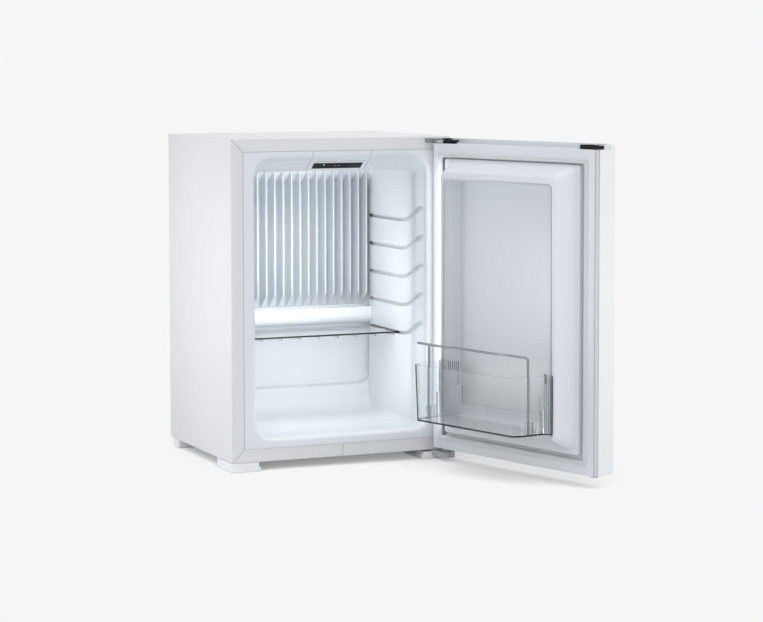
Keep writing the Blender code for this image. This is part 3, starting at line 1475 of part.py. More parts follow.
def main():
    clear_scene()
    white = finish("white_paint", (0.86, 0.87, 0.88), 0.35)
    white_plastic = finish("white_plastic", (0.88, 0.90, 0.92), 0.3)
    foam = finish("foam", (0.85, 0.78, 0.55), 0.9)
    aluminium = finish("aluminium", (0.72, 0.76, 0.80), 0.35, 0.8)
    glossy_black = finish("glossy_black", (0.02, 0.02, 0.02), 0.08)
    black = finish("black_plastic", (0.03, 0.03, 0.03), 0.45)
    green = finish("green_light", (0.1, 0.8, 0.2), 0.3)
    grey = finish("grey_plastic", (0.35, 0.36, 0.38), 0.5)
    seal = finish("seal", (0.80, 0.81, 0.82), 0.6)
    hinge_steel = finish("hinge_steel", (0.62, 0.63, 0.64), 0.35, 0.9)
    steel = finish("black_steel", (0.08, 0.08, 0.085), 0.4, 0.6)
    galvanised = finish("galvanised", (0.55, 0.57, 0.58), 0.45, 0.9)
    clear = finish("clear_plastic", (0.80, 0.84, 0.86), 0.05, 0.0, 0.35)

    build_cabinet_wrapper(white)
    build_back_panel(galvanised)
    build_foam(foam)
    build_liner(white_plastic)
    build_fins(aluminium)
    build_gutter(white_plastic)
    build_drain(grey)
    build_controls(white_plastic, glossy_black, green)
    build_feet(white_plastic, black)
    build_hinges(hinge_steel, hinge_steel)
    build_shelf(clear)
    build_cooling_unit(steel, galvanised, black, grey)

    door = bpy.data.objects.new("door_axis", None)
    bpy.context.collection.objects.link(door)
    door.location = (HINGE_X, HINGE_Y, 0)
    door.rotation_euler = (0, 0, OPEN_ANGLE)
    build_door_skin(white, door)
    build_door_frame(white_plastic, door)
    build_door_foam(foam, door)
    build_door_liner(white_plastic, door)
    build_gasket(seal, door)
    build_door_fittings(black, grey, door)
    build_bin(clear, door)
    build_guard(clear, door)
    stand_on_origin()


main()
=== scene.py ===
"""Looks of a small absorption fridge with its door open: finishes, finer pieces, light, camera."""

import math

import bmesh
import bpy
from mathutils import Matrix, Vector


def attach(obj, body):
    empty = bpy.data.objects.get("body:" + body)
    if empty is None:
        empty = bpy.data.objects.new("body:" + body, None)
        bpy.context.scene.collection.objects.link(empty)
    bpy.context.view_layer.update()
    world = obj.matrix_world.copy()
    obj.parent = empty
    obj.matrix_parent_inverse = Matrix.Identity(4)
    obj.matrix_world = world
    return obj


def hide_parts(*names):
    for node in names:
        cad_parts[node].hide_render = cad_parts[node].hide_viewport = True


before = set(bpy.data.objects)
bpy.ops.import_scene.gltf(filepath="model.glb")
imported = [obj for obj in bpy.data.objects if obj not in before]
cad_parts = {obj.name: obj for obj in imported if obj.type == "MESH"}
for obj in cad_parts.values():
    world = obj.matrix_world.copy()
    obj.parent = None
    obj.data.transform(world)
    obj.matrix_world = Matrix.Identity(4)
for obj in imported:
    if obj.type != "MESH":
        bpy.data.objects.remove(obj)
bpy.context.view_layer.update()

MM = 0.001
OPEN_ANGLE = math.radians(105.52)
DOOR_WIDTH = 398

# The cabinet's front left lower corner in the frame, in metres, and the upright pin line in
# millimetres, from that corner and on the door
CABINET = Vector((-0.2569358, 0.0049698, 0.0))
HINGE_AXIS = (385, -25.5)
PIN_ON_DOOR = (16, -17.5)

# Millimetres in the cabinet's axes, and on the open door: along it from the hinge end, out of its
# inner face, and up
TO_CABINET = Matrix.Translation(CABINET) @ Matrix.Scale(MM, 4)
TO_DOOR = (
    TO_CABINET
    @ Matrix.Translation((*HINGE_AXIS, 0))
    @ Matrix.Rotation(OPEN_ANGLE, 4, "Z")
    @ Matrix(((-1, 0, 0, PIN_ON_DOOR[0]), (0, 1, 0, -PIN_ON_DOOR[1]), (0, 0, 1, 0), (0, 0, 0, 1)))
)


# Finishes
def node(tree, kind, **sockets):
    """Shader node with some of its inputs set."""
    made = tree.nodes.new("ShaderNode" + kind)
    for name, value in sockets.items():
        made.inputs[name.replace("_", " ")].default_value = value
    return made


def noise(tree, scale, detail=2.0, stretch=(1, 1, 1)):
    """Noise that follows the object's own axes."""
    place = tree.nodes.new("ShaderNodeTexCoord")
    turn = tree.nodes.new("ShaderNodeMapping")
    turn.inputs["Scale"].default_value = stretch
    tree.links.new(place.outputs["Object"], turn.inputs["Vector"])
    made = node(tree, "TexNoise", Scale=scale, Detail=detail)
    tree.links.new(turn.outputs["Vector"], made.inputs["Vector"])
    return made


def finish(name, colour, rough, metal=0.0, tint=0.03, tint_scale=6, rough_spread=0.05,
           grain=900, bump=0.02, stretch=(1, 1, 1), **sockets):
    """A finish with cloudy colour and gloss, and a fine surface grain."""
    made = bpy.data.materials.new(name)
    made.use_nodes = True
    tree = made.node_tree
    shader = tree.nodes["Principled BSDF"]
    shader.inputs["Metallic"].default_value = metal
    for key, value in sockets.items():
        shader.inputs[key.replace("_", " ")].default_value = value
    cloud = noise(tree, tint_scale, 3.0, stretch)
    ramp = tree.nodes.new("ShaderNodeValToRGB")
    ramp.color_ramp.elements[0].position = 0.3
    ramp.color_ramp.elements[1].position = 0.7
    ramp.color_ramp.elements[0].color = (*[c * (1 - tint) for c in colour], 1)
    ramp.color_ramp.elements[1].color = (*[min(1, c * (1 + tint)) for c in colour], 1)
    tree.links.new(cloud.outputs["Fac"], ramp.inputs["Fac"])
    tree.links.new(ramp.outputs["Color"], shader.inputs["Base Color"])
    wear = noise(tree, tint_scale * 4, 4.0, stretch)
    span = tree.nodes.new("ShaderNodeMapRange")
    span.inputs["To Min"].default_value = max(0.0, rough - rough_spread)
    span.inputs["To Max"].default_value = min(1.0, rough + rough_spread)
    tree.links.new(wear.outputs["Fac"], span.inputs["Value"])
    tree.links.new(span.outputs["Result"], shader.inputs["Roughness"])
    if bump:
        fine = noise(tree, grain, 2.0, stretch)
        push = node(tree, "Bump", Strength=bump, Distance=0.001)
        tree.links.new(fine.outputs["Fac"], push.inputs["Height"])
        tree.links.new(push.outputs["Normal"], shader.inputs["Normal"])
    return made


PAINT = finish("white_paint", (0.80, 0.805, 0.815), 0.38, tint=0.012, grain=1400, bump=0.05)
LINER = finish("liner_plastic", (0.80, 0.835, 0.86), 0.32, tint=0.012, grain=2200, bump=0.03)
DOOR_PLASTIC = finish("door_plastic", (0.76, 0.785, 0.815), 0.34, tint=0.012, grain=2200,
                      bump=0.03)
FOOT_PLASTIC = finish("foot_plastic", (0.93, 0.94, 0.95), 0.42, tint=0.02, grain=1800, bump=0.05)
# Foam tone darkened so that it reads as shade where it shows through joints: real foam with painted
# shade
FOAM_GAP_SHADE = finish("foam", (0.36, 0.355, 0.34), 0.9, tint=0.12, tint_scale=60, grain=700, bump=0.4)
FIN_METAL = finish("fin_aluminium", (0.72, 0.76, 0.795), 0.34, metal=0.12, tint=0.02,
                   grain=500, bump=0.06, stretch=(6, 6, 0.3))
GLOSSY_BLACK = finish("glossy_black", (0.008, 0.008, 0.009), 0.12, tint=0.1, bump=0.0,
                      Specular_IOR_Level=0.18)
DOOR_PAINT = finish("door_paint", (0.86, 0.865, 0.872), 0.36, tint=0.01, grain=1400, bump=0.05)
# Darker grey copy of the door plastic: painted shade on the frame's sides at the door's two ends
DOOR_SIDE_SHADE = finish("door_side_painted_shade", (0.63, 0.65, 0.67), 0.36, tint=0.012, grain=2200,
                   bump=0.03)
BLACK = finish("black_plastic", (0.010, 0.010, 0.011), 0.5, tint=0.15, grain=1500, bump=0.08,
               Specular_IOR_Level=0.12)
LED = finish("green_light", (0.05, 0.8, 0.2), 0.3, tint=0.05, bump=0.0,
             Emission_Color=(0.08, 1.0, 0.25, 1), Emission_Strength=1.6)
PALE_GREY = finish("pale_grey_plastic", (0.62, 0.63, 0.64), 0.4, tint=0.04, grain=1500, bump=0.06)
GREY = finish("grey_plastic", (0.45, 0.47, 0.49), 0.45, tint=0.05, grain=1500, bump=0.08)
SEAL = finish("seal_rubber", (0.69, 0.705, 0.72), 0.6, tint=0.03, grain=1200, bump=0.1)
STEEL = finish("hinge_steel", (0.62, 0.64, 0.66), 0.3, metal=0.9, tint=0.05, grain=700,
               bump=0.08, stretch=(1, 8, 8))
BLACK_STEEL = finish("black_steel", (0.035, 0.035, 0.038), 0.45, metal=0.2, tint=0.2,
                     tint_scale=30, grain=900, bump=0.15)
ZINC = finish("zinc", (0.58, 0.60, 0.61), 0.4, metal=0.85, tint=0.12, tint_scale=55,
              rough_spread=0.12, grain=300, bump=0.08)
CLEAR = finish("clear_plastic", (0.962, 0.977, 0.984), 0.04, tint=0.01, rough_spread=0.02,
               bump=0.0, Transmission_Weight=1.0, IOR=1.5)
# Near-black clear finish: painted shade on the thick edges of the clear tub and shelf
CLEAR_EDGE_SHADE = finish("clear_edge_painted_shade", (0.008, 0.010, 0.012), 0.15, tint=0.05, bump=0.0,
             Transmission_Weight=0.15, IOR=1.5)
SHELF_CLEAR = finish("clear_shelf", (0.965, 0.975, 0.985), 0.06, tint=0.01, rough_spread=0.02,
                     bump=0.0, Transmission_Weight=0.8, IOR=1.45)
CLEAR_RIB = finish("clear_rib", (0.50, 0.53, 0.55), 0.12, tint=0.05, bump=0.0,
                   Transmission_Weight=0.6, IOR=1.45)
# Greys for the sunk channel inside the door's seal: painted shade in the recess, darkest towards
# the hinge end
CHANNEL_SHADE = finish("seal_channel_painted_shade", (0.62, 0.64, 0.66), 0.6, tint=0.05, grain=1200, bump=0.1)
CHANNEL_DARKEST_SHADE = finish("deep_channel_painted_shade", (0.31, 0.32, 0.33), 0.7, tint=0.05, grain=1200, bump=0.1)
BRACKET = finish("hinge_bracket", (0.42, 0.43, 0.435), 0.38, metal=0.2, tint=0.08, tint_scale=40,
                 grain=900, bump=0.1)
# Dark grey for the hinge arm's sides and the leg's back layer: painted shade
BRACKET_SHADE = finish("bracket_painted_shade", (0.30, 0.30, 0.305), 0.45, metal=0.1, tint=0.1, bump=0.05)
MARK = finish("touch_mark", (0.20, 0.21, 0.22), 0.4, tint=0.05, bump=0.0)
# Dark grey for strips laid in joints and grooves: painted shade
SEAM_SHADE = finish("seam_painted_shade", (0.33, 0.34, 0.35), 0.8, tint=0.05, bump=0.0)
SMOKE = finish("clear_rod", (0.42, 0.45, 0.47), 0.08, tint=0.03, bump=0.0,
               Transmission_Weight=0.6, IOR=1.49)


# Mesh helpers
SOFT_ANGLE = 32


def piece(name, shape, coats, body, nodes="", to=TO_CABINET, sharp=35, edge=0.0):
    """Object made of a mesh in millimetres, riding on a body, in place of some solids."""
    bmesh.ops.transform(shape, matrix=to, verts=shape.verts)
    bmesh.ops.recalc_face_normals(shape, faces=shape.faces)
    mesh = bpy.data.meshes.new(name)
    shape.to_mesh(mesh)
    shape.free()
    return show(name, mesh, coats, body, nodes, sharp, edge)


def show(name, mesh, coats, body, nodes, sharp, edge):
    """Object of a finished mesh, with its edges rounded where they are sharp."""
    for coat in coats if isinstance(coats, (list, tuple)) else [coats]:
        mesh.materials.append(coat)
    mesh.shade_smooth()
    mesh.set_sharp_from_angle(angle=math.radians(sharp))
    item = bpy.data.objects.new(name, mesh)
    bpy.context.scene.collection.objects.link(item)
    if edge:
        round_edges(item, edge, sharp)
    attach(item, body)
    if nodes:
        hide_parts(*nodes.split())
    return item


def round_edges(item, width, sharp):
    """Round the edges that turn by more than an angle."""
    bevel = item.modifiers.new("edge", "BEVEL")
    bevel.width = width * MM
    bevel.segments = 2
    bevel.limit_method = "ANGLE"
    bevel.angle_limit = math.radians(sharp)
    bevel.harden_normals = True
    bevel.use_clamp_overlap = True


def soften(name, coat, edge):
    """The same solid with its edges rounded and its round faces smooth."""
    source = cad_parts[name]
    mesh = source.data.copy()
    shape = bmesh.new()
    shape.from_mesh(mesh)
    bmesh.ops.remove_doubles(shape, verts=shape.verts, dist=2e-6)
    bmesh.ops.dissolve_limit(
        shape, angle_limit=math.radians(0.6), verts=shape.verts, edges=shape.edges
    )
    shape.to_mesh(mesh)
    shape.free()
    mesh.materials.clear()
    show(name + "_soft", mesh, coat, BODY_OF[name], name, SOFT_ANGLE, edge)


def loft(loops, closed=False):
    """Skin through rings of equal count, capped at both ends unless it closes on itself."""
    shape = bmesh.new()
    rings = [[shape.verts.new(point) for point in loop] for loop in loops]
    count = len(rings[0])
    pairs = list(zip(rings, rings[1:]))
    if closed:
        pairs.append((rings[-1], rings[0]))
    for one, two in pairs:
        for k in range(count):
            n = (k + 1) % count
            shape.faces.new((one[k], one[n], two[n], two[k]))
    if not closed:
        shape.faces.new(rings[0])
        shape.faces.new(rings[-1])
    return shape


def add(shape, other):
    """Put one mesh's faces into another."""
    mesh = bpy.data.meshes.new("part")
    other.to_mesh(mesh)
    other.free()
    shape.from_mesh(mesh)
    bpy.data.meshes.remove(mesh)
    return shape


def dye(shape, slot):
    """Give a mesh's faces one of the finishes of the piece it goes into."""
    for face in shape.faces:
        face.material_index = slot
    return shape


def bar(x, y, z):
    """Straight block, given its spans along the three axes."""
    low, high = zip(x, y, z)
    return loft([[(low[0], low[1], h), (high[0], low[1], h), (high[0], high[1], h),
                  (low[0], high[1], h)] for h in (low[2], high[2])])


def circle(centre, radius, z):
    """Level ring of points round an upright axis."""
    turns = [math.tau * k / 20 for k in range(20)]
    return [(centre[0] + radius * math.cos(t), centre[1] + radius * math.sin(t), z)
            for t in turns]


def arc(corners, steps=5):
    """Flat outline with rounded corners, from (a, b, radius) in turn."""
    out = []
    count = len(corners)
    for i, (a, b, radius) in enumerate(corners):
        here = Vector((a, b))
        if not radius:
            out.append(here)
            continue
        back = (Vector(corners[i - 1][:2]) - here).normalized()
        on = (Vector(corners[(i + 1) % count][:2]) - here).normalized()
        half = back.angle(on) / 2
        centre = here + (back + on).normalized() * (radius / math.sin(half))
        start = here + back * (radius / math.tan(half)) - centre
        end = here + on * (radius / math.tan(half)) - centre
        turn = start.angle_signed(end)
        for k in range(steps + 1):
            angle = -turn * k / steps
            out.append(centre + Matrix.Rotation(angle, 2) @ start)
    return out


def bent(points, radius, steps=6):
    """Route through the points with its corners rounded."""
    out = [Vector(points[0])]
    for a, b, c in zip(points, points[1:], points[2:]):
        a, b, c = Vector(a), Vector(b), Vector(c)
        back = (a - b).normalized()
        on = (c - b).normalized()
        half = back.angle(on) / 2
        if math.pi / 2 - half < 0.02:
            out.append(b)
            continue
        reach = min(radius / math.tan(half), (a - b).length / 2.1, (c - b).length / 2.1)
        for k in range(steps + 1):
            share = k / steps
            one = (b + back * reach).lerp(b, share)
            out.append(one.lerp(b.lerp(b + on * reach, share), share))
    out.append(Vector(points[-1]))
    return out


def rod(route, radius, sides=16):
    """Round bar along a route."""
    rings = []
    side = None
    for i, point in enumerate(route):
        ahead = route[min(i + 1, len(route) - 1)] - route[max(i - 1, 0)]
        ahead.normalize()
        if side is None:
            side = ahead.orthogonal().normalized()
        side = (side - ahead * side.dot(ahead)).normalized()
        up = ahead.cross(side)
        turn = [math.tau * k / sides for k in range(sides)]
        rings.append([point + (side * math.cos(t) + up * math.sin(t)) * radius for t in turn])
    return loft(rings)


BODY_OF = {"shelf": "shelf", "door_bin": "bin", "bottle_guard": "guard"}
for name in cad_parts:
    if name.startswith("door_") or name.endswith("_bush") or name.endswith("_blank"):
        BODY_OF.setdefault(name, "door")
    BODY_OF.setdefault(name, "cabinet")


# Solids that keep their shape with rounded edges, by finish and width of the rounding
EDGES = [
    (PAINT, 0.35, "cabinet_wrapper"),
    (DOOR_PAINT, 0.3, "door_outer_panel"),
    (LINER, 0.5, "drip_gutter"),
    (FOOT_PLASTIC, 1.4, "foot_front_left foot_front_right foot_rear_left foot_rear_right"),
    (FIN_METAL, 0.4, "cooling_fins"),
    (BLACK, 0.8, "evaporation_tray electronics_box"),
    (GREY, 0.4, "drain_tube mains_inlet bottom_hinge_bush bottom_hinge_blank"),
    (GREY, 0.25, "bottom_hinge_plate"),
    (STEEL, 0.4, "top_hinge_pin bottom_hinge_pin"),
    (BLACK_STEEL, 0.25, "condenser"),
    (ZINC, 0.3, "back_panel unit_strap_left unit_strap_right boiler_bracket condenser_bracket"),
]
for coat, edge, names in EDGES:
    for name in names.split():
        soften(name, coat, edge)

# Solids that are shown as they are
PLAIN = {
    FOAM_GAP_SHADE: "insulation_foam",
    BLACK_STEEL: "boiler_tube gas_exchanger evaporator_tube absorber_coil absorber_vessel",
    ZINC: "boiler_cover",
}
for coat, names in PLAIN.items():
    for name in names.split():
        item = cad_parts[name]
        item.data.materials.clear()
        item.data.materials.append(coat)


# Liner
WALLS = (42, 360)
FLOOR = 54
LIP = 6
LIP_HIGH = 532
LIP_TOP = 537.2
BAND_HIGH = 526
CEILING = 504
BAND_RUN, BAND_FALL = 29, 22
REAR_START = 211
REAR_FALL = math.radians(38.7)
CORNER = 30
STEP_START = 209
STEP_RISE = 30
SKIN = 1.4
PANEL = 9.5

# Heights of the shelf grooves' ledges, and (depth, height above the ledge) along a groove's lower
# and upper edge, whose front ends turn up
LEDGES = (208, 258, 308, 358, 408)
GROOVE_LOW = [
    (244, 0), (100, 0), (88, 0.7), (78, 1.9), (68, 3.3), (58, 5.1), (50, 7.3), (41.7, 10.4),
    (31.1, 15.6), (22, 21.2), (15, 26.6),
]
GROOVE_HIGH = [
    (13.6, 30.2), (16.5, 31.4), (23, 30.4), (29.7, 28.0), (37, 24.2), (45.3, 19.7), (52, 16.1),
    (58, 13.2), (64, 10.8), (70.2, 9.0), (78, 7.5), (86, 6.6), (95, 6.1), (105, 6), (244, 6),
]


def roof(depth):
    """Height of the ceiling: the slanted band, then level, then falling towards the back."""
    height = max(BAND_HIGH - (depth - LIP) * BAND_FALL / BAND_RUN, CEILING)
    return height - max(0, depth - REAR_START) * math.tan(REAR_FALL)


def cavity_ring(depth, grow, floor):
    """Ring round the cavity at a depth, grown outwards by some millimetres."""
    top = roof(max(depth, LIP)) + grow
    low, high = WALLS[0] - grow, WALLS[1] + grow
    radius = CORNER + grow
    plan = arc([(low, floor - grow, radius), (high, floor - grow, radius), (high, top, radius),
                (low, top, radius)], 9)
    return [(x, depth, z) for x, z in plan]


def solid_of(item):
    """The object's mesh with its modifiers applied."""
    view = bpy.context.evaluated_depsgraph_get()
    view.update()
    mesh = bpy.data.meshes.new_from_object(item.evaluated_get(view))
    item.modifiers.clear()
    old = item.data
    item.data = mesh
    bpy.data.meshes.remove(old)


def cut(item, cutter):
    """Take a mesh, in the cabinet's millimetres, out of an object."""
    bmesh.ops.transform(cutter, matrix=TO_CABINET, verts=cutter.verts)
    bmesh.ops.recalc_face_normals(cutter, faces=cutter.faces)
    mesh = bpy.data.meshes.new("cutter")
    cutter.to_mesh(mesh)
    cutter.free()
    tool = bpy.data.objects.new("cutter", mesh)
    bpy.context.scene.collection.objects.link(tool)
    change = item.modifiers.new("cut", "BOOLEAN")
    change.operation = "DIFFERENCE"
    change.solver = "EXACT"
    change.object = tool
    solid_of(item)
    bpy.data.objects.remove(tool)
    bpy.data.meshes.remove(mesh)


def build_liner():
    """Moulded cavity with a rounded lip, a slanted band behind it and a low step at the back."""
    flange = arc([(22.5, 38.5, 1), (379.5, 38.5, 1), (379.5, 537.5, 1), (22.5, 537.5, 1)], 9)
    rings = [[(x, 0, z) for x, z in flange]]
    for k in range(9):
        turn = k / 8 * math.pi / 2
        rings.append(cavity_ring(LIP * (1 - math.cos(turn)), LIP * (1 - math.sin(turn)), FLOOR))
    for depth in (14, 24, 35, 40, 120, STEP_START):
        rings.append(cavity_ring(depth, 0, FLOOR))
    for degrees in range(8, 89, 10):
        turn = math.radians(degrees)
        rise = STEP_RISE * (1 - math.cos(turn))
        rings.append(cavity_ring(STEP_START + STEP_RISE * math.sin(turn), 0, FLOOR + rise))
    rings += [cavity_ring(239, 0, 99), cavity_ring(240.5, 0, 102.5), cavity_ring(249, 0, 106)]
    shape = loft(rings)
    shape.faces.ensure_lookup_table()
    bmesh.ops.delete(shape, geom=[shape.faces[-2]], context="FACES_ONLY")
    item = piece("liner_shell", shape, LINER, "cabinet", "inner_liner", sharp=42)
    wall = item.modifiers.new("wall", "SOLIDIFY")
    wall.thickness = SKIN * MM
    wall.offset = -1
    return item


def build_panels():
    """Raised side walls with shelf grooves that turn up at the front."""
    lows = [(y, PANEL * ease((y - 6) / 30)) for y in range(6, 37, 3)]
    stations = lows + [(y, PANEL) for y in (70, 120, 180, 236)] + [(237.6, PANEL - 1.2)]
    stations += [(238.2, -0.5)]
    for side, wall, inward in (("left", WALLS[0], 1), ("right", WALLS[1], -1)):
        rings = []
        for y, rise in stations:
            face = wall + inward * max(rise, 0.02)
            back = wall - inward * 1.0
            high = roof(y) - 0.5
            rings.append([(back, y, FLOOR + 4), (face, y, FLOOR + 4), (face, y, high),
                          (back, y, high)])
        item = piece("liner_panel_" + side, loft(rings), LINER, "cabinet", sharp=30)
        for ledge in LEDGES:
            outline = [(y, z + ledge) for y, z in GROOVE_LOW + GROOVE_HIGH]
            low = [(wall + inward * 0.15, y, z) for y, z in outline]
            high = [(wall + inward * 14, y, z) for y, z in outline]
            cut(item, loft([low, high]))
        item.data.shade_smooth()
        item.data.set_sharp_from_angle(angle=math.radians(30))
        round_edges(item, 0.9, 45)


def ease(share):
    """Smooth step from 0 to 1."""
    share = min(1, max(0, share))
    return share * share * (3 - 2 * share)


def build_seam_shade():
    """Painted shade: fine dark strips in the joints between the folded front edge, its mitres and
    the liner.
    """
    shape = bmesh.new()
    half = 0.38

    def line(start, end):
        one, two = Vector(start), Vector(end)
        side = (two - one).orthogonal().normalized() * half
        corners = [one - side, two - side, two + side, one + side]
        add(shape, loft([[(x, y, z) for x, z in corners] for y in (-0.04, 0.5)]))

    low, high, left, right = 38.3, 537.8, 22.3, 379.7
    for start, end in (
        ((left, low), (left, high)), ((right, low), (right, high)),
        ((left, low), (right, low)), ((left, high), (right, high)),
        ((left, low), (1.5, 17.5)), ((right, low), (400.5, 17.5)),
        ((left, high), (1.5, 558.5)), ((right, high), (400.5, 558.5)),
        ((201, 17), (201, low)),
    ):
        line(start, end)
    piece("seam_shade_strips", shape, SEAM_SHADE, "cabinet")


BAND_ALONG = Vector((0, BAND_RUN, -BAND_FALL)).normalized()
BAND_OUT = Vector((0, -BAND_FALL, -BAND_RUN)).normalized()
BAND_TOP = Vector((0, LIP, BAND_HIGH - SKIN / -BAND_OUT.z))

# The housing's span across and its run along the band, the width of its side joints, and what
# lies on it, as (across, along the band)
HOUSING = (148.3, 253.7)
HOUSING_RUN = 33.6
JOINT = 0.9
WINDOW = ((156, 246), (12.8, 28.7))
LIGHT = (176, 17.8)
MARKS = ((196.5, 20.1), (203.9, 20.1))


def lip_line(sink=0.0):
    """(depth, height) down the front face, round the lip and along the slanted band."""
    radius = LIP + SKIN - sink
    line = [(-SKIN + sink, LIP_TOP)]
    for k in range(9):
        turn = math.radians(78) * k / 8
        line.append((LIP - radius * math.cos(turn), LIP_HIGH - radius * math.sin(turn)))
    for run in (0, HOUSING_RUN):
        point = BAND_TOP + BAND_ALONG * run - BAND_OUT * sink
        line.append((point.y, point.z))
    return line


def on_band(across, along, lift):
    """Slab that stands on the slanted band, given its spans across and along the band."""
    ends = [BAND_TOP + BAND_ALONG * run + BAND_OUT * level
            for run, level in ((along[0], lift), (along[1], lift), (along[1], -0.6),
                               (along[0], -0.6))]
    return loft([[(x, p.y, p.z) for p in ends] for x in across])


def band_disc(place, size, lift):
    """Round disc that stands on the slanted band."""
    across, along = place
    middle = BAND_TOP + BAND_ALONG * along + Vector((across, 0, 0))
    turns = [math.tau * k / 16 for k in range(16)]
    return loft([[middle + BAND_OUT * level + Vector((math.cos(t) * size, 0, 0))
                  + BAND_ALONG * (math.sin(t) * size) for t in turns] for level in (-0.3, lift)])


def build_housing(shell):
    """Control housing flush with the liner: its face, joints, window, light and touch marks, with
    painted shade strips in the joints and a painted shadow line above the window.
    """
    solid_of(shell)
    cut(shell, bar((HOUSING[0] - JOINT, HOUSING[1] + JOINT), (-2.5, 34.75), (503.9, 537.3)))
    shell.data.set_sharp_from_angle(angle=math.radians(42))
    back = lip_line(SKIN - 0.1)[::-1]
    face = loft([[(x, y, z) for y, z in lip_line() + back] for x in HOUSING])
    body = [(0.0, LIP_TOP), (0.0, 531.8), (0.6, 529.6), (2.0, 527.7), (4.4, 526.3), (5.9, 525.9),
            (34.6, 504.23), (34.6, 511.0), (12.0, LIP_TOP)]
    add(face, loft([[(x, y, z) for y, z in body] for x in (148.4, 253.6)]))
    piece("housing_face", face, LINER, "cabinet", "control_housing")
    # Painted shade: dark strips sunk in the two side joints, and a painted shadow line across the
    # band above the window
    lines = bmesh.new()
    sunk = lip_line(0.15) + back
    for low in (HOUSING[0] - JOINT, HOUSING[1]):
        add(lines, loft([[(x, y, z) for y, z in sunk] for x in (low, low + JOINT)]))
    add(lines, on_band((157.5, 247.5), (7.1, 8.0), 0.03))
    piece("housing_joint_shade", lines, SEAM_SHADE, "cabinet")
    piece("display_glass", on_band(*WINDOW, 0.12), GLOSSY_BLACK, "cabinet", "display_window")
    piece("status_light", band_disc(LIGHT, 1.1, 0.2), LED, "cabinet", "status_led")
    marks = bmesh.new()
    for place in MARKS:
        add(marks, band_disc(place, 1.4, 0.18))
    piece("touch_marks", marks, MARK, "cabinet")


build_housing(build_liner())
build_panels()
build_seam_shade()


# Door bin, guard and shelf
BIN_LOW = 87.7
BIN_HIGH = 183.5
BIN_SOCKETS = ((75.8, 73), (DOOR_WIDTH - 75.8, 73))
BRACKET_ENDS = ((66.9, 33.3), (91, 21))
GUARD_OUT = 105


def both_ends(low, high):
    """A span along the door and its mirror image towards the other end."""
    return (low, high), (DOOR_WIDTH - high, DOOR_WIDTH - low)


def bin_plan(inset, lean):
    """(along, out, top) round the tub: its back is low, its ends hook over the door's edges."""
    (outer_x, outer_y), (inner_x, inner_y) = BRACKET_ENDS
    half = [
        (103 + inset * 0.2, 21 + inset, 0, 115),
        (103 + inset * 0.2, 21 + inset, 0, 143),
        (92.5, 21 + inset, 0, 143),
        (92.5, 21 + inset, 0, BIN_HIGH),
        (inner_x, inner_y + inset, 0, BIN_HIGH),
        (outer_x + inset, outer_y + inset * 0.7, 0, BIN_HIGH),
        (59.7 + inset, 33.3 + inset, 0.4, BIN_HIGH),
        (59.7 + inset, 37.6, 0.4, BIN_HIGH),
        (69 + inset, 44, 0, BIN_HIGH),
        (72 + inset, 88 + lean, 4, BIN_HIGH),
        (79.5 + inset * 0.6, 103 + lean - inset, 4, BIN_HIGH),
    ]
    both = half + [(DOOR_WIDTH - a, b, r, h) for a, b, r, h in reversed(half)]
    flat = []
    count = len(both)
    for i, (a, b, radius, top) in enumerate(both):
        if radius:
            near = [(*both[k % count][:2], 0) for k in (i - 1, i + 1)]
            points = arc([near[0], (a, b, radius), near[1]], 4)[1:-1]
        else:
            points = [(a, b)]
        flat += [(x, y, top) for x, y in points]
    return flat


def bin_ring(inset, z):
    """Ring round the tub, no higher than each wall."""
    share = (z - BIN_LOW) / (BIN_HIGH - BIN_LOW)
    ring = []
    for x, y, top in bin_plan(inset, 4.6 * share):
        ring.append((x, y, min(z, top)))
    return ring


def build_bin():
    """Clear tub, with painted shade on its thick lower edge and its front left corner."""
    levels = [(0, BIN_LOW), (0, BIN_LOW + 2.9), (0, BIN_HIGH), (2, BIN_HIGH), (2, BIN_LOW + 2)]
    shape = loft([bin_ring(inset, z) for inset, z in levels])
    bmesh.ops.remove_doubles(shape, verts=shape.verts, dist=0.001)
    # Painted shade: faces along the tub's thick lower edge and a strip at its front left corner
    # take the near-black clear finish
    for face in shape.faces:
        middle = face.calc_center_median()
        outer = middle.y > 60 or middle.x < 75 or middle.x > DOOR_WIDTH - 75
        if BIN_LOW < middle.z < BIN_LOW + 2.2 and outer and middle.y > 42:
            face.material_index = 1
        normal = face.normal
        if 78 < middle.x < 82.5 and middle.y > 99 and abs(normal.z) < 0.3:
            if len(face.verts) == 4 and face.calc_area() < 400:
                face.material_index = 1
    piece("bin_tub", shape, (CLEAR, CLEAR_EDGE_SHADE), "bin", "door_bin", TO_DOOR, edge=0.2)
    extras = bmesh.new()
    sleeve = ((4.2, 89.9), (4.2, 110), (2.7, 110), (2.7, 91))
    for socket in BIN_SOCKETS:
        add(extras, loft([circle(socket, radius, z) for radius, z in sleeve]))
    for x, y, top in (((71.8, 74.8), (56, 66), 110), ((68.1, 72.1), (45.2, 50.5), 131)):
        for span in both_ends(*x):
            add(extras, bar(span, y, (89.9, top)))
    piece("bin_fittings", extras, CLEAR, "bin", "", TO_DOOR, edge=0.5)
    ribs = bmesh.new()
    for k in range(5):
        x, y = Vector(BRACKET_ENDS[0]).lerp(Vector(BRACKET_ENDS[1]), 0.42 + 0.13 * k)
        for span in both_ends(x - 0.35, x + 0.35):
            add(ribs, bar(span, (y + 2.05, y + 2.9), (168, BIN_HIGH - 0.8)))
    for k in range(4):
        share = 0.12 + 0.25 * k
        x = DOOR_WIDTH - 69 + 9.3 * share
        y = 44 - 6.4 * share
        for span in both_ends(x - 0.3, x + 0.3):
            add(ribs, bar(span, (y - 0.7, y + 0.2), (BIN_LOW + 3, BIN_HIGH - 1)))
    piece("bin_ribs", ribs, CLEAR_RIB, "bin", "", TO_DOOR)


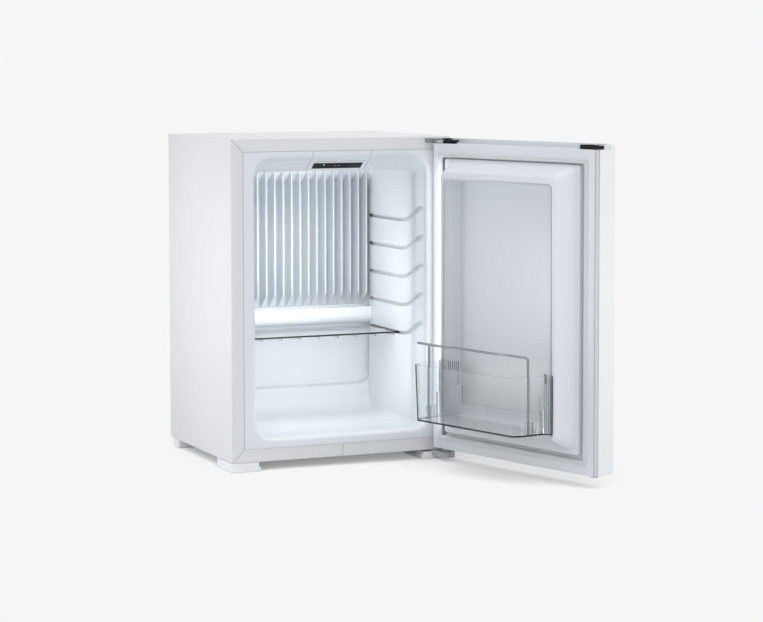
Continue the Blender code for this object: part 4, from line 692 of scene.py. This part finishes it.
def build_guard():
    """Bent rod whose front bar has a shallow wave."""
    leg = BIN_SOCKETS[0]
    half = [(*leg, 90.5), (*leg, 214), (82.8, GUARD_OUT, 220)]
    wave = [(a, GUARD_OUT, z) for a, z in ((158, 218.9), (181, 220.6), (205, 220.2), (262, 219.2))]
    points = half + wave + [(DOOR_WIDTH - a, b, z) for a, b, z in reversed(half)]
    route = bent(points, 7, 7)
    piece("guard_rod", rod(route, 2.15, 18), SMOKE, "guard", "bottle_guard", TO_DOOR, edge=0.5,
          sharp=60)


def build_shelf():
    """Clear plate with ribs under it and painted shade on its front edge."""
    low, high = 208.45, 211.75
    plan = arc([(43.1, 116.2, 2), (358.9, 116.2, 2), (358.9, 235.8, 2), (43.1, 235.8, 2)], 4)
    shape = loft([[(x, y, z) for x, y in plan] for z in (low, low + 0.5, high)])
    # Painted shade: the plate's front edge faces take the near-black clear finish
    for face in shape.faces:
        middle = face.calc_center_median()
        if middle.y < 117 and low < middle.z < high:
            face.material_index = 1
    ribs = bmesh.new()
    for i in range(9):
        x = 348.9 - i * 35.45
        add(ribs, bar((x - 0.75, x + 0.75), (119.8, 232), (204.5, low - 0.02)))
    piece("shelf_plate", shape, (SHELF_CLEAR, CLEAR_EDGE_SHADE), "shelf", "shelf", edge=0.4)
    piece("shelf_ribs", ribs, SHELF_CLEAR, "shelf", "", edge=0.2)


build_bin()
build_guard()
build_shelf()


# Door
DOOR_LOW, FRAME_HIGH = 23, 548.5

# Half of the raised edge's outline at its base and at its crest, as (along, height, corner radius),
# and the lower side of its top bar at both
DYKE_CORNERS = ((69, 59, 2), (35, 59, 24), (35, 521.5, 24))
CREST_CORNERS = ((66.3, 80, 2), (57, 80, 8), (57, 503, 13))
BAR_LOWS = (487.3, 490)


def rim(inset, top, out, radius=3, far=0.0):
    """Ring round the door, so far out of its inner face, from the insets at its sides and top.

    far widens the inset at the free end.
    """
    near, end = inset, DOOR_WIDTH - inset - far
    low, high = DOOR_LOW + inset, FRAME_HIGH - top
    plan = arc([(near, low, radius), (end, low, radius), (end, high, radius),
                (near, high, radius)], 3)
    return [(a, out, z) for a, z in plan]


def build_frame():
    """Ring round the door's inner face with a sunk channel inside the seal, and the top trough; the
    channel is grey and darker towards the hinge end, and the frame's sides at the door's ends
    darker grey, all as painted shade.
    """
    profile = [
        (23.2, 22.8, -0.6), (22.6, 22.2, 0), (1.0, 1.0, 0), (0.3, 0.3, -0.25), (0, 0, -0.8),
        (0.05, 0.05, -1.0), (0.8, 0.8, -1.05), (0.8, 0.8, -2.3), (0, 0, -2.35), (0, 0, -6.6),
        (0.5, 0.5, -7.1), (1.2, 1.2, -7.3), (1.2, 1.2, -11.6), (2.2, 2.2, -11.6),
        (2.2, 2.2, -10.4), (38, 34, -10.4), (38, 34, -7.5), (23.4, 23, -7.5),
    ]
    shape = loft([rim(*row, radius=1.0 if row[0] < 20 else 3) for row in profile], closed=True)
    # Painted shade: the channel's faces take grey, and the stretch near the hinge end a darker grey
    for face in shape.faces:
        middle = face.calc_center_median()
        if -10 < middle.y < -0.9 and 23.1 < min(middle.x, DOOR_WIDTH - middle.x):
            face.material_index = 2
        if -10 < middle.y < -0.9 and 23.1 < middle.x < 40:
            face.material_index = 3
        # Painted shade: the frame's outer sides at the door's two ends take the darker grey copy
        if middle.y < -0.1 and min(middle.x, DOOR_WIDTH - middle.x) < 1.3:
            face.material_index = 1
    rows = [(-7.5, 545.2), (-34.7, 545.2), (-34.7, 556.7), (-33, 556.7), (-33, 548.4),
            (-7.5, 548.4)]
    add(shape, loft([[(a, out, z) for out, z in rows] for a in (1.4, DOOR_WIDTH - 1.4)]))
    add(shape, bar((396.9, 397.9), (-34.7, -21), (548.4, 556.7)))
    piece("door_ring", shape, (DOOR_PLASTIC, DOOR_SIDE_SHADE, CHANNEL_SHADE, CHANNEL_DARKEST_SHADE), "door",
          "door_frame", TO_DOOR, edge=0.1)
    # Painted shade: a dark ring laid in the groove round the frame's outer side
    lines = bmesh.new()
    loops = [rim(inset, inset, out, radius=1.0)
             for inset, out in ((0.3, -2.32), (0.3, -1.03), (1.0, -1.03), (1.0, -2.32))]
    add(lines, loft(loops, closed=True))
    piece("door_line_shade", lines, SEAM_SHADE, "door", "", TO_DOOR)


def build_gasket():
    """Low magnetic seal with a rib line, and painted shade lines along its welded corners."""
    profile = [(15.0, 0.05), (15.1, 1.5), (15.7, 2.6), (16.8, 3.0), (18.3, 2.9), (18.6, 2.5),
               (18.9, 2.9), (20.8, 3.0), (21.7, 2.6), (22.2, 1.5), (22.3, 0.05)]
    shape = loft([rim(inset, inset, out) for inset, out in profile], closed=True)
    piece("door_seal", shape, SEAL, "door", "door_gasket", TO_DOOR, sharp=50)
    # Painted shade: thin dark strips on the seal's mitred corners
    welds = bmesh.new()
    for a, step in ((0, 1), (DOOR_WIDTH, -1)):
        for z, rise in ((DOOR_LOW, 1), (FRAME_HIGH, -1)):
            near, far = (a + 15.9 * step, z + 15.9 * rise), (a + 21.3 * step, z + 21.3 * rise)
            slip = 0.14
            corners = [(near[0] - slip * step, near[1] + slip * rise),
                       (near[0] + slip * step, near[1] - slip * rise),
                       (far[0] + slip * step, far[1] - slip * rise),
                       (far[0] - slip * step, far[1] + slip * rise)]
            add(welds, loft([[(x, out, y) for x, y in corners] for out in (2.2, 3.04)]))
    piece("seal_weld_shade", welds, SEAM_SHADE, "door", "", TO_DOOR)


def dyke(share, grow, out):
    """Outline of the raised edge from its base (share 0) to its crest (share 1)."""
    half = []
    for base, crest, (da, dz) in zip(
        DYKE_CORNERS, CREST_CORNERS, ((1, -1), (-1, -1), (-1, 1))
    ):
        a, z, radius = (p + (q - p) * share for p, q in zip(base, crest))
        half.append((a + grow * da, z + grow * dz, radius))
    bar_low = BAR_LOWS[0] + (BAR_LOWS[1] - BAR_LOWS[0]) * share - grow
    inner = half[0][0]
    other = [(DOOR_WIDTH - a, z, radius) for a, z, radius in half[::-1]]
    corners = half + other + [(DOOR_WIDTH - inner, bar_low, 10), (inner, bar_low, 10)]
    return [(a, out, z) for a, z in arc(corners, 6)]


def build_door_liner():
    """Moulded inner face: plate with a turned-back edge, raised edge with soft feet, bin ledges."""
    edge = [(31.3, 26.8, -7.2), (30.7, 26.2, -6.6), (30.5, 26.0, -1.2), (30.8, 26.3, -0.4),
            (31.6, 27.1, 0)]
    shape = loft([rim(*row, radius=3.0, far=4.0) for row in edge])
    height, foot, brow = 33.0, 3.0, 3.4
    rings = []
    for k in range(6):
        turn = k / 5 * math.pi / 2
        rise = foot * (1 - math.cos(turn))
        rings.append(dyke(rise / height, foot * 0.55 * (1 - math.sin(turn)), rise - 0.05))
    for k in range(7):
        turn = k / 6 * math.pi / 2
        rise = height - brow * (1 - math.sin(turn))
        rings.append(dyke(rise / height, -brow * 0.7 * (1 - math.cos(turn)), rise))
    ridge = loft(rings)
    caps = [face for face in ridge.faces if len(face.verts) > 20]
    bmesh.ops.triangulate(ridge, faces=caps, ngon_method="EAR_CLIP")
    add(shape, ridge)
    for span in both_ends(67.3, 77.3):
        add(shape, bar(span, (0, 29), (79.4, 87.4)))
    piece("door_mould", shape, DOOR_PLASTIC, "door", "door_inner_liner", TO_DOOR, sharp=40)
    # Door foam in the darkened foam finish, for painted shade where it shows through joints
    shape = loft([rim(3.5, 3.5, -42), rim(2.4, 2.4, -41), rim(2.4, 5, -10.9)])
    add(shape, loft([rim(38.5, 34.5, -10.8), rim(38.5, 34.5, -2)]))
    piece("door_filling", shape, FOAM_GAP_SHADE, "door", "door_foam", TO_DOOR)


def round_post(centre, radius, z, lip=0.5):
    """Upright post with its two edges cut at 45 degrees."""
    return loft([circle(centre, size, level) for size, level in (
        (radius - lip, z[0]), (radius, z[0] + lip), (radius, z[1] - lip), (radius - lip, z[1]))])


def build_hinge_caps():
    """Bush block on the hinge end's corner and the blank in its place on the free corner."""
    low = 548.9
    shape = bmesh.new()
    for along, out, z in (
        ((22.0, 44.7), (-15, -3.2), (low, 551.6)), ((22.0, 41.4), (-22, -3.2), (551.2, 554.5)),
        ((43.4, 49.0), (-14, -4.6), (551.2, 554.3)),
    ):
        add(shape, bar(along, out, z))
    add(shape, dye(bar((5.0, 20.6), (-28, -3.6), (low + 0.9, 553.4)), 1))
    add(shape, dye(round_post(PIN_ON_DOOR, 7.4, (low, 554.3)), 1))
    add(shape, round_post((33, -13.5), 3.0, (553.4, 554.7), lip=0.25))
    piece("hinge_bush_block", shape, (BLACK, PALE_GREY), "door", "top_hinge_bush", TO_DOOR,
          edge=0.15)

    shape = bmesh.new()
    for along, out, z in (
        ((360, 386.5), (-20, -3.2), (low, 555.8)), ((386, 397.8), (-19.8, -3.2), (low, 554.2)),
        ((364.5, 384), (-3.4, -2.9), (550.2, 553.9)),
    ):
        add(shape, bar(along, out, z))
    add(shape, round_post((391.8, -8.4), 4.0, (low - 0.1, 555.6)))
    pale = bar((352.6, 360.6), (-14, -3.4), (552.2, 556.2))
    add(pale, bar((354.4, 360.6), (-11, -3.8), (low, 552.4)))
    add(pale, round_post((391.8, -8.4), 2.5, (555.5, 558.6)))
    add(shape, dye(pale, 1))
    piece("hinge_blank_block", shape, (BLACK, PALE_GREY), "door", "top_hinge_blank", TO_DOOR,
          edge=0.15)


def build_hinge_plate():
    """Steel plate over the door's corner, folded down on to the cabinet's front flange; its level
    faces are white as a painted highlight, most sides and the leg's back layer dark grey as painted
    shade.
    """
    outline = [Vector(p) for p in ((354.4, -0.4), (391, -0.4), (394, -25.5))]
    end_radius = 9
    for k in range(1, 12):
        turn = -k / 12 * math.pi
        outline.append(Vector(HINGE_AXIS)
                       + end_radius * Vector((math.cos(turn), math.sin(turn))))
    outline += [Vector((376, -25.5)), Vector((355.2, -4.6)), Vector((354.4, -3.4))]
    shape = loft([[(x, y, z) for x, y in outline] for z in (554.9, 557.4)])
    # Painted highlight and shade: level faces take the white paint, standing in for the bright sky
    # on the steel; side faces take the dark grey
    for face in shape.faces:
        face.normal_update()
        middle = face.calc_center_median()
        side = 3 if middle.x > 375 and middle.y < -10 else 1
        face.material_index = side if abs(face.normal.z) < 0.5 else 0
    leg = arc([(354.4, 548.9, 3.2), (372.6, 548.9, 1.2), (372.6, 556.4, 0.4),
               (354.4, 556.4, 2.4)])
    back = loft([[(x, y, z) for x, z in leg] for y in (-0.3, -1.3)])
    middle = Vector((364.2, 552.7))
    pad = [middle + (p - middle) * 0.80 + Vector((1.2, 0.35)) for p in leg]
    front = loft([[(x, y, z) for x, z in pad] for y in (-1.0, -1.9)])
    # Painted shade: the leg's back layer is dark grey so a dark rim shows round the front pad
    add(shape, dye(back, 1))
    add(shape, dye(front, 2))
    piece("hinge_arm", shape, (PAINT, BRACKET_SHADE, BRACKET, BLACK), "cabinet",
          "top_hinge_plate", edge=0.25)


build_frame()
build_gasket()
build_door_liner()
build_hinge_caps()
build_hinge_plate()


# Stage
PHOTO_SIZE = (763, 622)
PHOTO_CENTRE = (415.7, 250)
FOCAL_PIXELS = 2414.381
SENSOR = 36
CAMERA_PLACE = (-1363.018, -3777.059, 691.686)
CAMERA_PITCH = 4.5139
CAMERA_TURN = 24.2363
PAPER = 0.922


def camera():
    """Camera solved from the straight edges of the photograph, whose pixels run down."""
    width, height = PHOTO_SIZE
    data = bpy.data.cameras.new("camera")
    data.sensor_width = SENSOR
    data.lens = FOCAL_PIXELS * SENSOR / width
    data.shift_x = -(PHOTO_CENTRE[0] - width / 2) / width
    data.shift_y = (PHOTO_CENTRE[1] - height / 2) / width
    data.clip_end = 100
    item = bpy.data.objects.new("camera", data)
    item.location = Vector(CAMERA_PLACE) * MM + CABINET
    item.rotation_euler = (math.radians(90 - CAMERA_PITCH), 0, -math.radians(CAMERA_TURN))
    bpy.context.scene.collection.objects.link(item)
    bpy.context.scene.camera = item


def lamp(name, place, target, size, power):
    """Soft rectangular lamp that the camera doesn't see."""
    data = bpy.data.lights.new(name, "AREA")
    data.shape = "RECTANGLE"
    data.size, data.size_y = size
    data.energy = power
    item = bpy.data.objects.new(name, data)
    item.location = place
    item.rotation_euler = (Vector(target) - Vector(place)).to_track_quat("-Z", "Y").to_euler()
    item.visible_camera = False
    bpy.context.scene.collection.objects.link(item)


def seen_rays(tree):
    """1 for rays that show the background: from the camera, a reflection or through glass."""
    path = tree.nodes.new("ShaderNodeLightPath")
    total = path.outputs["Is Camera Ray"]
    for name in ("Is Glossy Ray", "Is Transmission Ray"):
        either = tree.nodes.new("ShaderNodeMath")
        either.operation = "MAXIMUM"
        tree.links.new(total, either.inputs[0])
        tree.links.new(path.outputs[name], either.inputs[1])
        total = either.outputs["Value"]
    return total


def background():
    """Even pale world where it is seen, and a softer one for light."""
    world = bpy.data.worlds.new("studio")
    world.use_nodes = True
    tree = world.node_tree
    shown = tree.nodes["Background"]
    shown.inputs["Color"].default_value = (PAPER, PAPER, PAPER, 1)
    light = node(tree, "Background", Color=(0.93, 0.96, 1.0, 1), Strength=0.6)
    mix = tree.nodes.new("ShaderNodeMixShader")
    tree.links.new(seen_rays(tree), mix.inputs["Fac"])
    tree.links.new(light.outputs["Background"], mix.inputs[1])
    tree.links.new(shown.outputs["Background"], mix.inputs[2])
    tree.links.new(mix.outputs["Shader"], tree.nodes["World Output"].inputs["Surface"])
    bpy.context.scene.world = world


def floor():
    """Pale floor of the background's colour that keeps the soft shadow under the object."""
    mesh = bpy.data.meshes.new("floor")
    mesh.from_pydata([(-9, -9, 0), (9, -9, 0), (9, 9, 0), (-9, 9, 0)], [], [(0, 1, 2, 3)])
    item = bpy.data.objects.new("floor", mesh)
    item.location.z = -0.0002
    bpy.context.scene.collection.objects.link(item)
    coat = bpy.data.materials.new("floor")
    coat.use_nodes = True
    tree = coat.node_tree
    shader = tree.nodes["Principled BSDF"]
    shader.inputs["Base Color"].default_value = (0.85, 0.85, 0.85, 1)
    shader.inputs["Roughness"].default_value = 0.9
    shader.inputs["Specular IOR Level"].default_value = 0.0
    # What stands beside or behind a spot shades it more than what stands in front of it
    tilt = node(tree, "CombineXYZ", X=-0.3, Y=-0.5, Z=0.81)
    near = node(tree, "AmbientOcclusion", Color=(1, 1, 1, 1), Distance=0.4)
    near.samples = 16
    tree.links.new(tilt.outputs["Vector"], near.inputs["Normal"])
    span = node(tree, "MapRange")
    span.inputs["From Max"].default_value = 0.64
    span.inputs["To Min"].default_value = 0.1
    tree.links.new(near.outputs["AO"], span.inputs["Value"])
    glow = node(tree, "Emission", Strength=PAPER)
    tree.links.new(span.outputs["Result"], glow.inputs["Color"])
    mix = tree.nodes.new("ShaderNodeMixShader")
    tree.links.new(seen_rays(tree), mix.inputs["Fac"])
    tree.links.new(shader.outputs["BSDF"], mix.inputs[1])
    tree.links.new(glow.outputs["Emission"], mix.inputs[2])
    tree.links.new(mix.outputs["Shader"], tree.nodes["Material Output"].inputs["Surface"])
    mesh.materials.append(coat)


camera()
background()
floor()

# Lamps in the room in metres, and those inside the cabinet in its millimetres: where each stands,
# what it faces, its size in metres and its power in watts
INSIDE = (201, 200, 290)
LAMPS = [
    ("top", (0.0, -0.3, 2.2), (0.0, 0.0, 0.3), (1.5, 1.5), 12.9),
    ("near_side", (-0.75, 0.07, 0.36), (-0.25, 0.07, 0.36), (0.25, 0.25), 1.16),
    ("door", (0.55, -1.0, 0.42), (0.22, -0.40, 0.35), (0.4, 0.4), 1.25),
    ("door_left", (-0.25, -1.1, 0.42), (0.25, -0.36, 0.3), (0.4, 0.4), 1.12),
]
ROOM_LAMPS = [
    ("room_low", (201, -15, 150), (201, 200, 120), (0.28, 0.16), 0.068),
    ("room_middle", (201, 45, 290), INSIDE, (0.28, 0.40), 0.20),
    ("room_top", (201, 90, 500), (201, 100, 300), (0.2, 0.1), 0.012),
    ("room_back", (165, 45, 350), (192, 230, 300), (0.12, 0.12), 0.255),
    ("corner", (355, -44, 290), (397, -3, 290), (0.02, 0.45), 0.06),
]
for name, place, target, size, power in LAMPS:
    lamp(name, place, target, size, power)
for name, place, target, size, power in ROOM_LAMPS:
    lamp(name, TO_CABINET @ Vector(place), TO_CABINET @ Vector(target), size, power)
bpy.context.scene.view_settings.view_transform = "Standard"
